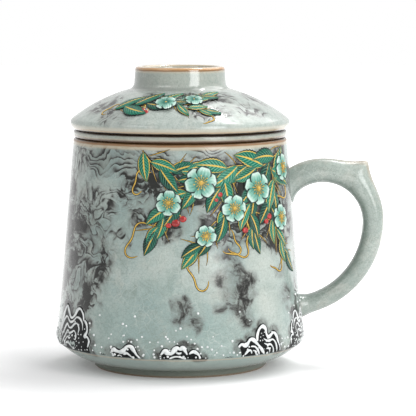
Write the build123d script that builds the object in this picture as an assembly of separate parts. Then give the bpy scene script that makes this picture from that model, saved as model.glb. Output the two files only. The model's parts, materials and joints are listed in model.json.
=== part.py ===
"""Lidded tea mug with a lift-out infuser, in glazed stoneware.

The mug stands on its foot ring at Z = 0 and its axis is Z. The handle lies in the XZ plane, on +X.
The infuser hangs by its flange from the mug's lip, and the lid rests on that flange.
Members that a potter forms by themselves and lutes together with slip are separate solids that
meet face to face. All sizes are in millimetres.
"""

import os
from math import atan2, copysign, cos, degrees, exp, hypot, pi, radians, sin, sqrt

from build123d import *

# ---- mug wall and floor -----------------------------------------------------------------------
mug_height = 90.6  # table to lip
mouth_radius = 42.0  # outside of the wall at the lip
belly_spread = 6.9  # of the widest circle, low on the wall, past the mouth
belly_height = 12.9
turned_edge_height = 8.9  # crisp edge where the wall turns under
turned_edge_inset = 2.0  # of that edge from the widest circle
underside_bulge = 0.8  # of the turned underside from a straight cone
mug_wall = 3.6
mug_floor = 5.0
mug_corner = 9.0  # inside, between floor and wall
lip_round = 1.3

# ---- foot ring --------------------------------------------------------------------------------
foot_radius = 34.0
foot_height = 2.6
foot_width = 4.6
foot_flare = 1.2  # how far the ring spreads where it meets the turned underside
foot_edge = 0.6  # chamfer of the ring's standing edges

# ---- handle -----------------------------------------------------------------------------------
handle_drop = 8.5  # top of the handle below the lip
finger_gap = 27.0  # from the wall to the inside of the grip, at the upper bend's centre
grip_radius = 15.7  # inside of the upper bend
arm_droop = 6.4  # from the top of the finger gap down to its upper corner, at the wall
tail_height = 27.2  # lower corner of the finger gap, above the table
grip_thick = 9.6  # in the handle's own plane, at the upper root
tail_thick = 7.0  # the same at the lower root, before it spreads
grip_width = 10.8  # across the handle's plane
spur_height = 4.9  # thumb rest that stands out of the upper bend
spur_angle = 54.0  # of the thumb rest round the upper bend, from level
spur_spread = 8.5  # angle over which the thumb rest fades to a third
spur_tip = 2.0  # angle over which its crest is rounded
spur_pinch = 0.35  # share by which the crest is narrower than the grip
root_flare = 1.2  # spread of the luted roots, all round
root_run = 1.5  # distance from the wall over which the spread fades to a third
root_sink = 8.0  # each root is made this much too long, then cut to the wall
section_power = 2.3  # 2 is an ellipse, and more is a fuller section
section_points = 16  # round each section
arm_sections, bend_sections, tail_sections = 5, 3, 8
spur_sections = (1.6, 0.9, 0.45, 0.17)  # places of those each side of the thumb rest, in its spread

# ---- infuser ----------------------------------------------------------------------------------
flange_inset = 0.1  # of the flange's edge from the mug's outside
flange_thick = 3.2
flange_round = 1.1
basket_depth = 62.0  # from the mug's lip to the underside of the strainer
basket_gap = 1.5  # between the basket and the inside of the mug's mouth
basket_wall = 2.6
basket_taper = 1.4  # the basket draws in by this much towards its floor
basket_throat = 1.0  # fillet under the flange
basket_cove = 2.0  # inside, between wall and strainer
strainer_thick = 3.0
strainer_round = 2.2  # lower edge of the basket
hole_radius = 1.2
hole_pitch = 5.4  # from one ring of holes to the next
hole_land = 2.4  # clear floor between the outermost holes and the cove

# ---- lid --------------------------------------------------------------------------------------
lid_overhang = 1.2  # of the lid past the mug's lip
lid_edge = 4.4  # height of the lid's rounded edge
lid_widest = 2.4  # height of its widest circle above the bearing face
lid_edge_inset = 0.9  # of the dome's lower end from the lid's widest circle
lid_undercut = 1.6  # of the bearing face from the lid's widest circle
lid_bearing = 5.0  # width of the face that rests on the flange
dome_height = 15.6  # bearing face to crown
dome_bulge = 1.2  # of the dome's outline from a straight cone
dome_wall = 4.0
locating_gap = 1.0  # between the locating ring and the inside of the basket
locating_drop = 5.4  # of the locating ring below the bearing face
locating_wall = 2.6
locating_round = 0.8

# ---- ring knob --------------------------------------------------------------------------------
knob_radius = 17.6  # outside of the ring at its lip
knob_height = 8.9  # above the crown
knob_wall = 2.9
knob_draft = 0.5  # the ring is this much wider at its root
knob_flare = 2.1  # spread of the luted root onto the dome
knob_flare_height = 2.6
knob_cove = 1.6  # inside the ring, at its root
knob_round = 1.2

cove_depth = 0.25  # hollow of an inside cove, as a share of its size


def revolved(*edges):
    """Solid of revolution about Z from the edges of a closed half outline in X and Z."""
    return revolve(Plane.XZ * make_face(Wire(list(edges))), Axis.Z)


def path(*points):
    """Straight edges through the points, in order."""
    return [Line(a, b) for a, b in zip(points, points[1:])]


def circles(solid, radius, height):
    """The circular edges of a turned solid that have a radius and lie at a height."""
    return [
        edge for edge in solid.edges().filter_by(GeomType.CIRCLE)
        if hypot(edge.radius - radius, edge.center().Z - height) < 0.01
    ]


def wall_radius(height):
    """Outside radius of the mug's straight wall at a height above the table."""
    slope = belly_spread / (mug_height - belly_height)
    return mouth_radius + slope * (mug_height - height)


def basket_radius(height):
    """Outside radius of the infuser's basket at a height above the table."""
    mouth = mouth_radius - mug_wall - basket_gap
    return mouth - basket_taper * (mug_height - height) / basket_depth


# ---- mug --------------------------------------------------------------------------------------
def mug_envelope():
    """The mug's outside as a solid plug. The handle's roots are cut to it."""
    belly = Vector(mouth_radius + belly_spread, belly_height)
    edge = Vector(belly.X - turned_edge_inset, turned_edge_height)
    seat = Vector(foot_radius + foot_flare, foot_height)
    return revolved(
        *path(seat, (0, foot_height), (0, mug_height), (mouth_radius, mug_height), belly),
        TangentArc(belly, edge, tangent=(belly_spread, belly_height - mug_height)),
        SagittaArc(edge, seat, underside_bulge),
    )


def mug_body():
    """Cup with a tapering wall, a rounded inside corner and a soft lip that keeps a flat land."""
    floor = foot_height + mug_floor
    above = mug_height + mug_wall
    hollow = revolved(*path(
        (0, floor),
        (wall_radius(floor) - mug_wall, floor),
        (wall_radius(above) - mug_wall, above),
        (0, above),
        (0, floor),
    ))
    hollow = fillet(circles(hollow, wall_radius(floor) - mug_wall, floor), mug_corner)
    cup = mug_envelope() - hollow
    lip = circles(cup, mouth_radius, mug_height) + circles(cup, mouth_radius - mug_wall, mug_height)
    return fillet(lip, lip_round)


def mug_foot_ring():
    """Ring luted under the floor, spreading towards the underside, with a flat to stand on."""
    inner = foot_radius - foot_width
    root = (foot_radius + foot_flare, foot_height)
    return revolved(
        *path(root, (inner, foot_height), (inner, foot_edge), (inner + foot_edge, 0),
              (foot_radius - foot_edge, 0), (foot_radius, foot_edge)),
        TangentArc((foot_radius, foot_edge), root, tangent=(0, 1)),
    )


# ---- handle -----------------------------------------------------------------------------------
def handle_arcs():
    """Centres and radii of the grip's three tangent arcs, with the angles where they end.

    They are the inside of the arm, of the upper bend and of the tail. The arm starts and the tail
    ends where the finger gap meets the wall, and each runs on into it.
    """
    top = mug_height - handle_drop - grip_thick
    middle = top - grip_radius
    bend = Vector(wall_radius(middle) + finger_gap - grip_radius, 0, middle)
    arm_reach = bend.X - wall_radius(top - arm_droop)
    arm_radius = hypot(arm_reach, arm_droop) ** 2 / (2 * arm_droop)
    arm = Vector(bend.X, 0, top - arm_radius)
    arm_start = degrees(atan2(arm_radius - arm_droop, -arm_reach) + root_sink / arm_radius)
    tail_fall = middle - tail_height
    tail_reach = bend.X + grip_radius - wall_radius(tail_height)
    tail_radius = hypot(tail_reach, tail_fall) ** 2 / (2 * tail_reach)
    tail = Vector(bend.X + grip_radius - tail_radius, 0, middle)
    tail_end = degrees(atan2(-tail_fall, tail_radius - tail_reach) - root_sink / tail_radius)
    return (arm, arm_radius, arm_start), (bend, grip_radius, spur_angle), (tail, tail_radius, tail_end)


def spread(start, end, count):
    """Evenly spaced values after a start, up to an end."""
    return [start + (end - start) * (k + 1) / count for k in range(count)]


def handle_angles(arm_start, tail_end):
    """Angles of the handle's sections, closer together round the thumb rest."""
    before, after = ([spur_angle + side * step * spur_spread for step in spur_sections] for side in (1, -1))
    return [arm_start, *spread(arm_start, 90, arm_sections), (90 + before[0]) / 2, *before,
            *reversed(after), *spread(after[0], 0, bend_sections), *spread(0, tail_end, tail_sections)]


def handle_section(arc, angle, share):
    """Full oval section of the handle across its line, at an angle of one of its arcs.

    It thins from root to root, swells where it is luted on, and grows and pinches at the thumb rest.
    """
    centre, radius, _ = arc
    out = Vector(cos(radians(angle)), 0, sin(radians(angle)))
    inside = centre + out * radius
    spur = exp((spur_tip - hypot(angle - spur_angle, spur_tip)) / spur_spread)
    flare = root_flare * exp(-max(0.0, inside.X - wall_radius(inside.Z)) / root_run)
    thick = grip_thick + (tail_thick - grip_thick) * share**2 + spur_height * spur + 2 * flare
    middle = inside + out * (thick / 2 - flare)
    points = []
    for turn in spread(0, 2 * pi, section_points):
        across = copysign(abs(sin(turn)) ** (2 / section_power), sin(turn))
        along = copysign(abs(cos(turn)) ** (2 / section_power), cos(turn))
        width = (grip_width / 2 + flare) * (1 - spur_pinch * spur * max(0.0, along))
        points.append(middle + out * (thick / 2 * along) + Vector(0, width * across, 0))
    return Wire([Edge.make_spline(points, periodic=True)])


def mug_handle():
    """Cast handle with a thumb rest, its two roots cut to the mug's wall."""
    arm, bend, tail = handle_arcs()
    arm_start, tail_end = arm[2], tail[2]
    sections = []
    for angle in handle_angles(arm_start, tail_end):
        arc = arm if angle > 90 else tail if angle < 0 else bend
        sections.append(handle_section(arc, angle, (arm_start - angle) / (arm_start - tail_end)))
    return Solid.make_loft(sections) - mug_envelope()


# ---- infuser ----------------------------------------------------------------------------------
def infuser_basket():
    """Wall of the infuser, with the flange that hangs it from the mug's lip."""
    top = mug_height + flange_thick
    bottom = mug_height - basket_depth + strainer_thick
    edge = mouth_radius - flange_inset
    outer_top, outer_low = basket_radius(mug_height), basket_radius(bottom)
    inner_top, inner_low = outer_top - basket_wall, outer_low - basket_wall
    cove = (inner_low + basket_taper * basket_cove / basket_depth, bottom + basket_cove)
    basket = revolved(
        *path(cove, (inner_top, top), (edge, top), (edge, mug_height), (outer_top, mug_height),
              (outer_low, bottom), (inner_low - basket_cove, bottom)),
        SagittaArc((inner_low - basket_cove, bottom), cove, -basket_cove * cove_depth),
    )
    basket = fillet(circles(basket, edge, top) + circles(basket, edge, mug_height), flange_round)
    basket = fillet(circles(basket, outer_top, mug_height), basket_throat)
    return fillet(circles(basket, inner_top, top), flange_round)


def infuser_strainer():
    """Perforated floor luted under the basket's wall, with rings of holes about a central one."""
    bottom = mug_height - basket_depth
    rim = basket_radius(bottom + strainer_thick)
    plate = Pos(0, 0, bottom + strainer_thick / 2) * Cylinder(rim, strainer_thick)
    plate = fillet(circles(plate, rim, bottom), strainer_round)
    clear = rim - basket_wall - basket_cove - hole_land - hole_radius
    drill = Pos(0, 0, bottom) * Cylinder(hole_radius, strainer_thick * 3)
    holes = [drill]
    for ring in range(1, int(clear / hole_pitch) + 1):
        holes += [place * drill for place in PolarLocations(ring * hole_pitch, 6 * ring)]
    return plate - holes


# ---- lid --------------------------------------------------------------------------------------
def dome_point(radius, drop=0.0):
    """Point of the dome's outline at a distance from the axis, or of that outline moved down."""
    low = Vector(mouth_radius + lid_overhang - lid_edge_inset, lid_edge)
    high = Vector(knob_radius + knob_draft + knob_flare, dome_height)
    chord = low - high
    outline_radius = (chord.length**2 / 4 + dome_bulge**2) / (2 * dome_bulge)
    inward = Vector(chord.Y, -chord.X).normalized()
    centre = (low + high) / 2 + inward * (outline_radius - dome_bulge)
    rise = centre.Y + sqrt(outline_radius**2 - (radius - centre.X) ** 2)
    return Vector(radius, mug_height + flange_thick + rise - drop)


def dome_line(start, end, drop=0.0):
    """Stretch of the dome's outline between two distances from the axis, or of it moved down."""
    return ThreePointArc(*(dome_point(radius, drop) for radius in (start, (start + end) / 2, end)))


def locating_radii():
    """Outside and inside radius of the ring that centres the lid in the infuser."""
    outer = basket_radius(mug_height) - basket_wall - locating_gap
    return outer, outer - locating_wall


def lid_dome():
    """Domed cover with a rounded edge, a bearing face and a flat seat for the locating ring."""
    seat = mug_height + flange_thick
    crown = seat + dome_height
    widest = mouth_radius + lid_overhang
    knob_root = knob_radius + knob_draft + knob_flare
    ring_out, ring_in = locating_radii()
    ring_seat = dome_point(ring_out, dome_wall).Y
    bearing = widest - lid_undercut
    shoulder = dome_point(widest - lid_edge_inset)
    return revolved(
        *path((0, crown - dome_wall), (0, crown), dome_point(knob_root)),
        dome_line(knob_root, widest - lid_edge_inset),
        ThreePointArc(shoulder, (widest, seat + lid_widest), (bearing, seat)),
        *path((bearing, seat), (bearing - lid_bearing, seat), (ring_out, ring_seat), (ring_in, ring_seat),
              dome_point(ring_in, dome_wall)),
        dome_line(ring_in, knob_root, dome_wall),
        *path(dome_point(knob_root, dome_wall), (0, crown - dome_wall)),
    )


def lid_locating_ring():
    """Ring luted under the dome. It drops into the infuser's mouth and keeps the lid centred."""
    outer, inner = locating_radii()
    top = dome_point(outer, dome_wall).Y
    bottom = mug_height + flange_thick - locating_drop
    ring = revolved(*path((inner, top), (inner, bottom), (outer, bottom), (outer, top), (inner, top)))
    return fillet(circles(ring, outer, bottom) + circles(ring, inner, bottom), locating_round)


def lid_knob_ring():
    """Open ring that the lid is lifted by, luted on the crown with a spreading root."""
    crown = mug_height + flange_thick + dome_height
    top = crown + knob_height
    root = knob_radius + knob_draft
    inner = root - knob_wall
    neck = (root, crown + knob_flare_height)
    ring = revolved(
        *path((inner, crown + knob_cove), (knob_radius - knob_wall, top), (knob_radius, top), neck),
        TangentArc(neck, (root + knob_flare, crown), tangent=(knob_draft, knob_flare_height - knob_height)),
        *path((root + knob_flare, crown), (inner - knob_cove, crown)),
        SagittaArc((inner - knob_cove, crown), (inner, crown + knob_cove), -knob_cove * cove_depth),
    )
    lip = circles(ring, knob_radius, top) + circles(ring, knob_radius - knob_wall, top)
    return fillet(lip, knob_round)


PARTS = (
    mug_body,
    mug_foot_ring,
    mug_handle,
    infuser_basket,
    infuser_strainer,
    lid_dome,
    lid_locating_ring,
    lid_knob_ring,
)

if __name__ == "__main__":
    os.makedirs("parts", exist_ok=True)
    for make in PARTS:
        export_step(make(), f"parts/{make.__name__}.step")
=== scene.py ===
"""Looks of a lidded tea mug with a lift-out infuser, in crackled celadon glaze with raised enamel.

Every turned member is a half outline spun round the mug's axis, and the handle is lofted along its
three arcs. Wave crests, spray and a tea branch in overglaze enamel stand out of the glaze as thin
pieces of their own. Outlines are in millimetres, with Z up from the table and the handle on +X.
Angles round the mug are in degrees from its front, which faces -Y, towards the handle.
"""

import json
import logging
import math
import random
from bisect import bisect_left
from collections.abc import Callable, Iterable, Sequence
from dataclasses import dataclass, field
from enum import Enum

import bmesh
import bpy
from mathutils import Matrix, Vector

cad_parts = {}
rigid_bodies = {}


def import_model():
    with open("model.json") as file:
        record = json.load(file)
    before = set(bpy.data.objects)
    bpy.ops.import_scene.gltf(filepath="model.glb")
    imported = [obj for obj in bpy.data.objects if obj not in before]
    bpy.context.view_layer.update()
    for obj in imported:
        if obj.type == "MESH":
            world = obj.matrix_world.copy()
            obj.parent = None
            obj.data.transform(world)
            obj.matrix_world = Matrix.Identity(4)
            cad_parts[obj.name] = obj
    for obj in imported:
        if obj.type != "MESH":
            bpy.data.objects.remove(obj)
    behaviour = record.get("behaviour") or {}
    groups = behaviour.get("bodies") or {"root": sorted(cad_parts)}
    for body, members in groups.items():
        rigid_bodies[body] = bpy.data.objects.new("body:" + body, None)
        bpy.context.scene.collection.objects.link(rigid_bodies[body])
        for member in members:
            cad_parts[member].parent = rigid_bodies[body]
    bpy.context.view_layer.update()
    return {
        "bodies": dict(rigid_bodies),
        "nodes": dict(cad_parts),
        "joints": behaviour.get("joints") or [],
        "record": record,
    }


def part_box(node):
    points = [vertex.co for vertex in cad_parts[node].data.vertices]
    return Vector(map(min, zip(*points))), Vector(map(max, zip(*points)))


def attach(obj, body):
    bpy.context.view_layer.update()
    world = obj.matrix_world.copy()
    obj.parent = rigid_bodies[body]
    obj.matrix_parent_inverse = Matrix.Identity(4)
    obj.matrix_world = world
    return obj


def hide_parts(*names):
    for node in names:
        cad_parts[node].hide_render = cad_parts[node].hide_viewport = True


log = logging.getLogger("tea_mug")

MM = 0.001
WELD = 1e-6  # distance in metres under which vertices are one
SMOOTH_ANGLE = math.radians(32)
PATCH_DEPTH = 0.4  # how far a flat patch of enamel goes in, in millimetres

Pair = tuple[float, float]
Colour = tuple[float, float, float]
Object = bpy.types.Object
Socket = bpy.types.NodeSocket


# ---- outlines ----
def arc_round(centre: Pair, start: Pair, sweep: float, count: int) -> list[Pair]:
    """Points of an arc after its start.

    Args:
        centre: Centre of the arc.
        start: Where the arc starts.
        sweep: Angle it turns through, in radians, positive from X towards Z.
        count: How many points it gets.

    Returns:
        The points, without the start.
    """
    across, up = start[0] - centre[0], start[1] - centre[1]
    points = []
    for k in range(1, count + 1):
        turn = sweep * k / count
        cosine, sine = math.cos(turn), math.sin(turn)
        points.append((centre[0] + across * cosine - up * sine, centre[1] + across * sine + up * cosine))
    return points


def bulged(start: Pair, end: Pair, sagitta: float, count: int = 10) -> list[Pair]:
    """Points of an arc that stands off its chord.

    Args:
        start: Where the arc starts.
        end: Where it ends.
        sagitta: How far its middle lies to the left of the chord.
        count: How many points it gets.

    Returns:
        The points, without the start.
    """
    run, rise = end[0] - start[0], end[1] - start[1]
    chord = math.hypot(run, rise)
    radius = (chord * chord / 4 + sagitta * sagitta) / (2 * sagitta)
    apart = radius - sagitta
    centre = ((start[0] + end[0]) / 2 + rise / chord * apart, (start[1] + end[1]) / 2 - run / chord * apart)
    sweep = -2 * math.atan2(chord / 2, apart)
    return arc_round(centre, start, sweep, count)


def tangent_arc(start: Pair, heading: Pair, end: Pair, count: int = 8) -> list[Pair]:
    """Points of an arc that leaves its start in a given direction.

    Args:
        start: Where the arc starts.
        heading: Direction in which it leaves.
        end: Where it ends.
        count: How many points it gets.

    Returns:
        The points, without the start.
    """
    run, rise = end[0] - start[0], end[1] - start[1]
    size = math.hypot(*heading)
    along = (run * heading[0] + rise * heading[1]) / size
    left = (rise * heading[0] - run * heading[1]) / size
    radius = (run * run + rise * rise) / (2 * left)
    centre = (start[0] - heading[1] / size * radius, start[1] + heading[0] / size * radius)
    return arc_round(centre, start, 2 * math.atan2(left, along), count)


def through(start: Pair, middle: Pair, end: Pair, count: int = 12) -> list[Pair]:
    """Points of an arc through three points, without the first."""
    (ax, ay), (bx, by), (cx, cy) = start, middle, end
    twice = 2 * (ax * (by - cy) + bx * (cy - ay) + cx * (ay - by))
    a, b, c = ax * ax + ay * ay, bx * bx + by * by, cx * cx + cy * cy
    centre = (
        (a * (by - cy) + b * (cy - ay) + c * (ay - by)) / twice,
        (a * (cx - bx) + b * (ax - cx) + c * (bx - ax)) / twice,
    )
    first = math.atan2(ay - centre[1], ax - centre[0])
    last = math.atan2(cy - centre[1], cx - centre[0])
    sweep = (last - first) % math.tau
    if ((math.atan2(by - centre[1], bx - centre[0]) - first) % math.tau) > sweep:
        sweep -= math.tau
    return arc_round(centre, start, sweep, count)


def rounded(before: Pair, corner: Pair, after: Pair, radius: float, count: int = 6) -> list[Pair]:
    """Points of the fillet that softens one corner of an outline.

    Args:
        before: Point on the way in.
        corner: The sharp corner.
        after: Point on the way out.
        radius: Radius of the fillet.
        count: How many steps it has.

    Returns:
        The points, from one tangent point to the other.
    """
    inward = Vector(before) - Vector(corner)
    outward = Vector(after) - Vector(corner)
    half = inward.angle(outward) / 2
    reach = radius / math.tan(half)
    start = Vector(corner) + inward.normalized() * reach
    end = Vector(corner) + outward.normalized() * reach
    bisector = (inward.normalized() + outward.normalized()).normalized()
    middle = Vector(corner) + bisector * (radius / math.sin(half) - radius)
    return [tuple(start), *through(tuple(start), tuple(middle), tuple(end), count)]


def densified(points: Sequence[Pair], step: float = 2.5, edge: float = 0.2) -> list[Pair]:
    """Outline whose long straight stretches get more points, two of them close to their ends.

    Args:
        points: The outline.
        step: Longest stretch that is left.
        edge: Distance of the first and last added point from the stretch's ends.

    Returns:
        The outline with more points.
    """
    made = [points[0]]
    for a, b in zip(points, points[1:]):
        length = math.dist(a, b)
        if length > step:
            count = max(1, round(length / step))
            shares = [edge / length, *(k / count for k in range(1, count)), 1 - edge / length]
            made += [(a[0] + (b[0] - a[0]) * share, a[1] + (b[1] - a[1]) * share) for share in shares]
        made.append(b)
    return made


class Run(Enum):
    """What says how far along a skin's outline a point lies."""

    HEIGHT = 1
    RADIUS = 0


@dataclass
class Skin:
    """Outside surface of a turned member, for what is painted or trailed on it."""

    points: list[Pair]
    run: Run

    def __post_init__(self) -> None:
        """Sorts the outline by what its run is measured on."""
        self.points = sorted(self.points, key=lambda point: point[self.run.value])
        self.keys = [point[self.run.value] for point in self.points]

    def radius(self, run: float) -> float:
        """Distance from the axis at a run."""
        return self.at_run(run)[0]

    def at_run(self, run: float) -> tuple[float, float, float, float]:
        """Radius and height at a run, and the two parts of the outward normal there."""
        k = min(max(bisect_left(self.keys, run), 1), len(self.keys) - 1)
        (r0, z0), (r1, z1) = self.points[k - 1], self.points[k]
        share = (run - self.keys[k - 1]) / (self.keys[k] - self.keys[k - 1])
        length = math.hypot(r1 - r0, z1 - z0)
        out, up = (z1 - z0) / length, (r0 - r1) / length
        if self.run is Run.RADIUS:
            out, up = -out, -up
        return r0 + (r1 - r0) * share, z0 + (z1 - z0) * share, out, up

    def at(self, angle: float, run: float, lift: float = 0.0) -> Vector:
        """Point on the skin, in millimetres.

        Args:
            angle: Angle from the front, in degrees.
            run: Height or radius, as the skin measures it.
            lift: Distance out of the surface.

        Returns:
            The point.
        """
        radius, height, out, up = self.at_run(run)
        reach, turn = radius + out * lift, math.radians(angle)
        return Vector((reach * math.sin(turn), -reach * math.cos(turn), height + up * lift))

    def place_of(self, point: Vector) -> tuple[float, float, float]:
        """Angle, run and distance out of the surface of a point close to it."""
        angle = math.degrees(math.atan2(point.x, -point.y))
        reach = math.hypot(point.x, point.y)
        run = point.z if self.run is Run.HEIGHT else reach
        for _ in range(2):
            radius, height, out, up = self.at_run(run)
            lift = (reach - radius) * out + (point.z - height) * up
            run = point.z - up * lift if self.run is Run.HEIGHT else reach - out * lift
        return angle, run, lift

    def beside(self, angle: float, run: float, across: float, along: float) -> Pair:
        """Angle and run of a point given by its distances in millimetres from another one."""
        return angle + math.degrees(across / self.radius(run + along)), run + along

    def laid(self, start: Pair, across: float, along: float, lift: float) -> Vector:
        """Point given by its distances in millimetres from another one and out of the surface."""
        return self.at(*self.beside(*start, across, along), lift)

    def way(self, start: Pair, end: Pair, run: float) -> float:
        """Direction from one point to another, in radians from the way round, as it is at a run."""
        return math.atan2(end[1] - start[1], math.radians(end[0] - start[0]) * self.radius(run))

    def placed(self, patches: Iterable["InkSpot"]) -> "Patches":
        """Patches with the points that they lie round."""
        return tuple((self.at(spot.angle, spot.run), spot) for spot in patches)


# ---- meshes ----
def deselect() -> None:
    """Deselects every object."""
    bpy.ops.object.select_all(action="DESELECT")


def turned(name: str, outline: Sequence[Pair], segments: int = 192) -> Object:
    """Draws a half outline point by point and spins it round the axis.

    Args:
        name: Name of the piece.
        outline: Radii and heights. It starts and ends on the axis, or ends where it starts.
        segments: Steps of the spin.

    Returns:
        The closed, smooth piece.
    """
    deselect()
    bpy.ops.mesh.primitive_plane_add(size=MM)
    piece = bpy.context.object
    piece.name = piece.data.name = name
    bpy.ops.object.mode_set(mode="EDIT")
    bpy.ops.mesh.merge(type="CENTER")
    bpy.ops.transform.translate(value=(outline[0][0] * MM, 0, outline[0][1] * MM))
    for (r0, z0), (r1, z1) in zip(outline, outline[1:]):
        step = ((r1 - r0) * MM, 0, (z1 - z0) * MM)
        bpy.ops.mesh.extrude_vertices_move(TRANSFORM_OT_translate={"value": step})
    bpy.ops.mesh.select_all(action="SELECT")
    bpy.ops.mesh.spin(steps=segments, angle=math.tau, center=(0, 0, 0), axis=(0, 0, 1))
    weld()
    bpy.ops.object.shade_smooth_by_angle(angle=SMOOTH_ANGLE)
    return piece


def weld() -> None:
    """Merges doubles of the mesh in edit mode, turns its faces outwards and leaves edit mode."""
    bpy.ops.mesh.select_all(action="SELECT")
    bpy.ops.mesh.remove_doubles(threshold=WELD)
    bpy.ops.mesh.normals_make_consistent(inside=False)
    bpy.ops.object.mode_set(mode="OBJECT")


def lofted(name: str, rings: Sequence[Sequence[Vector]]) -> Object:
    """Extrudes a circle from ring to ring and closes both ends.

    Args:
        name: Name of the piece.
        rings: Points of each section in millimetres, as many in each.

    Returns:
        The closed, smooth piece.
    """
    deselect()
    bpy.ops.mesh.primitive_circle_add(vertices=len(rings[0]), radius=MM)
    piece = bpy.context.object
    piece.name = piece.data.name = name
    bpy.ops.object.mode_set(mode="EDIT")
    for number, ring in enumerate(rings):
        if number:
            bpy.ops.mesh.extrude_region_move()
        mesh = bmesh.from_edit_mesh(piece.data)
        chosen = [vertex for vertex in mesh.verts if vertex.select]
        for vertex, place in zip(chosen, ring):
            vertex.co = place * MM
        bmesh.update_edit_mesh(piece.data)
    bpy.ops.mesh.select_all(action="DESELECT")
    bpy.ops.mesh.select_mode(type="EDGE")
    bpy.ops.mesh.select_non_manifold(extend=False)
    bpy.ops.mesh.edge_face_add()
    bpy.ops.mesh.select_mode(type="VERT")
    weld()
    bpy.ops.object.shade_smooth_by_angle(angle=SMOOTH_ANGLE)
    return piece


def pick(piece: Object, wanted: Callable[[Vector], bool]) -> None:
    """Selects the vertices of a mesh in edit mode by their place in millimetres."""
    mesh = bmesh.from_edit_mesh(piece.data)
    for vertex in mesh.verts:
        vertex.select_set(wanted(vertex.co / MM))
    mesh.select_flush_mode()
    bmesh.update_edit_mesh(piece.data)


def joined(name: str, parts: Sequence[Object]) -> Object:
    """Joins meshes into one piece of a given name."""
    deselect()
    for part in parts:
        part.select_set(True)
    bpy.context.view_layer.objects.active = parts[0]
    bpy.ops.object.join()
    parts[0].name = parts[0].data.name = name
    return parts[0]


def stamped(mould: Object, place: Callable[[Vector], Vector], tint: float = 0.5) -> Object:
    """Lays a copy of a flat mould on a skin.

    Args:
        mould: The flat shape.
        place: Where a point of the mould goes. Both are in millimetres.
        tint: Shade of this copy from 0 to 1, kept in its attribute "tint".

    Returns:
        The copy, with its own mesh.
    """
    copy = mould.copy()
    copy.data = mould.data.copy()
    bpy.context.scene.collection.objects.link(copy)
    for vertex in copy.data.vertices:
        vertex.co = place(vertex.co / MM) * MM
    shade = copy.data.attributes.new("tint", "FLOAT", "POINT")
    shade.data.foreach_set("value", [tint] * len(copy.data.vertices))
    return copy


def bead(segments: int, rings: int, squash: float = 1.0) -> Object:
    """Makes a smooth round mould, 1 mm in radius and squashed in height."""
    deselect()
    bpy.ops.mesh.primitive_uv_sphere_add(segments=segments, ring_count=rings, radius=MM)
    mould = bpy.context.object
    bpy.ops.object.mode_set(mode="EDIT")
    bpy.ops.mesh.select_all(action="SELECT")
    bpy.ops.transform.resize(value=(1, 1, squash))
    bpy.ops.object.mode_set(mode="OBJECT")
    bpy.ops.object.shade_smooth()
    return mould


def smooth_line(points: Sequence[Pair], steps: int = 8) -> list[Pair]:
    """Points of a smooth line that passes through all the given ones."""
    padded = [points[0], *points, points[-1]]
    made = []
    for a, b, c, d in zip(padded, padded[1:], padded[2:], padded[3:]):
        for k in range(steps):
            t = k / steps
            made.append(tuple(
                0.5 * (2 * q + (r - p) * t + (2 * p - 5 * q + 4 * r - s) * t**2
                       + (3 * q - p - 3 * r + s) * t**3)
                for p, q, r, s in zip(a, b, c, d)
            ))
    return [*made, points[-1]]


@dataclass(frozen=True)
class Trail:
    """Line of enamel trailed on a skin, a bead that is partly sunk in it."""

    points: list[Pair]  # angle and run
    half_width: float
    thin_ends: float = 0.35  # share of the width that is left at the ends
    end_share: float = 0.25  # share of the line over which each end thins
    taper: float = 0.0  # share of the width that is lost from the start to the end
    sway: float = 0.0  # share by which the width swells and shrinks on the way

    def width_at(self, k: int) -> float:
        """Half width at a point of the line."""
        last = len(self.points) - 1
        ends = math.sin(min(1, min(k, last - k) / last / self.end_share) * math.pi / 2)
        along = (1 - self.taper * k / last) * (1 + self.sway * math.sin(0.38 * k + self.points[0][0]))
        return self.half_width * (self.thin_ends + (1 - self.thin_ends) * ends) * along


def trailed(name: str, skin: Skin, trails: Sequence[Trail], proud: float, sides: int = 2,
            raised: float = 0.0) -> Object:
    """Makes one mesh of many trails, flattened to lenses that are half sunk in the skin.

    Args:
        name: Name of the piece.
        skin: What they lie on.
        trails: The lines.
        proud: Height of a trail's middle as a share of its half width.
        sides: Steps in a quarter of a bead's section.
        raised: Height of the trails' middle over the skin, in millimetres.

    Returns:
        The piece.
    """
    deselect()
    bpy.ops.curve.primitive_bezier_curve_add()
    piece = bpy.context.object
    piece.name = piece.data.name = name
    curve = piece.data
    curve.splines.clear()
    curve.dimensions = "3D"
    curve.bevel_depth = MM
    curve.bevel_resolution = sides
    curve.use_fill_caps = True
    for trail in trails:
        spline = curve.splines.new("POLY")
        spline.points.add(len(trail.points) - 1)
        for k, (point, place) in enumerate(zip(spline.points, trail.points)):
            point.co = (*(skin.at(*place) * MM), 1)
            point.radius = trail.width_at(k)
    bpy.ops.object.convert(target="MESH")
    for vertex in piece.data.vertices:
        angle, run, lift = skin.place_of(vertex.co / MM)
        vertex.co = skin.at(angle, run, raised + lift * proud) * MM
    bpy.ops.object.shade_smooth()
    return piece


def thickened(piece: Object, depth: float) -> Object:
    """Closes sheets of enamel by a thickness in millimetres that goes in from their face."""
    deselect()
    piece.select_set(True)
    bpy.context.view_layer.objects.active = piece
    shell = piece.modifiers.new("shell", "SOLIDIFY")
    shell.thickness = depth * MM
    shell.offset = -1
    bpy.ops.object.modifier_apply(modifier="shell")
    bpy.ops.object.shade_smooth_by_angle(angle=SMOOTH_ANGLE)
    return piece


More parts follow.
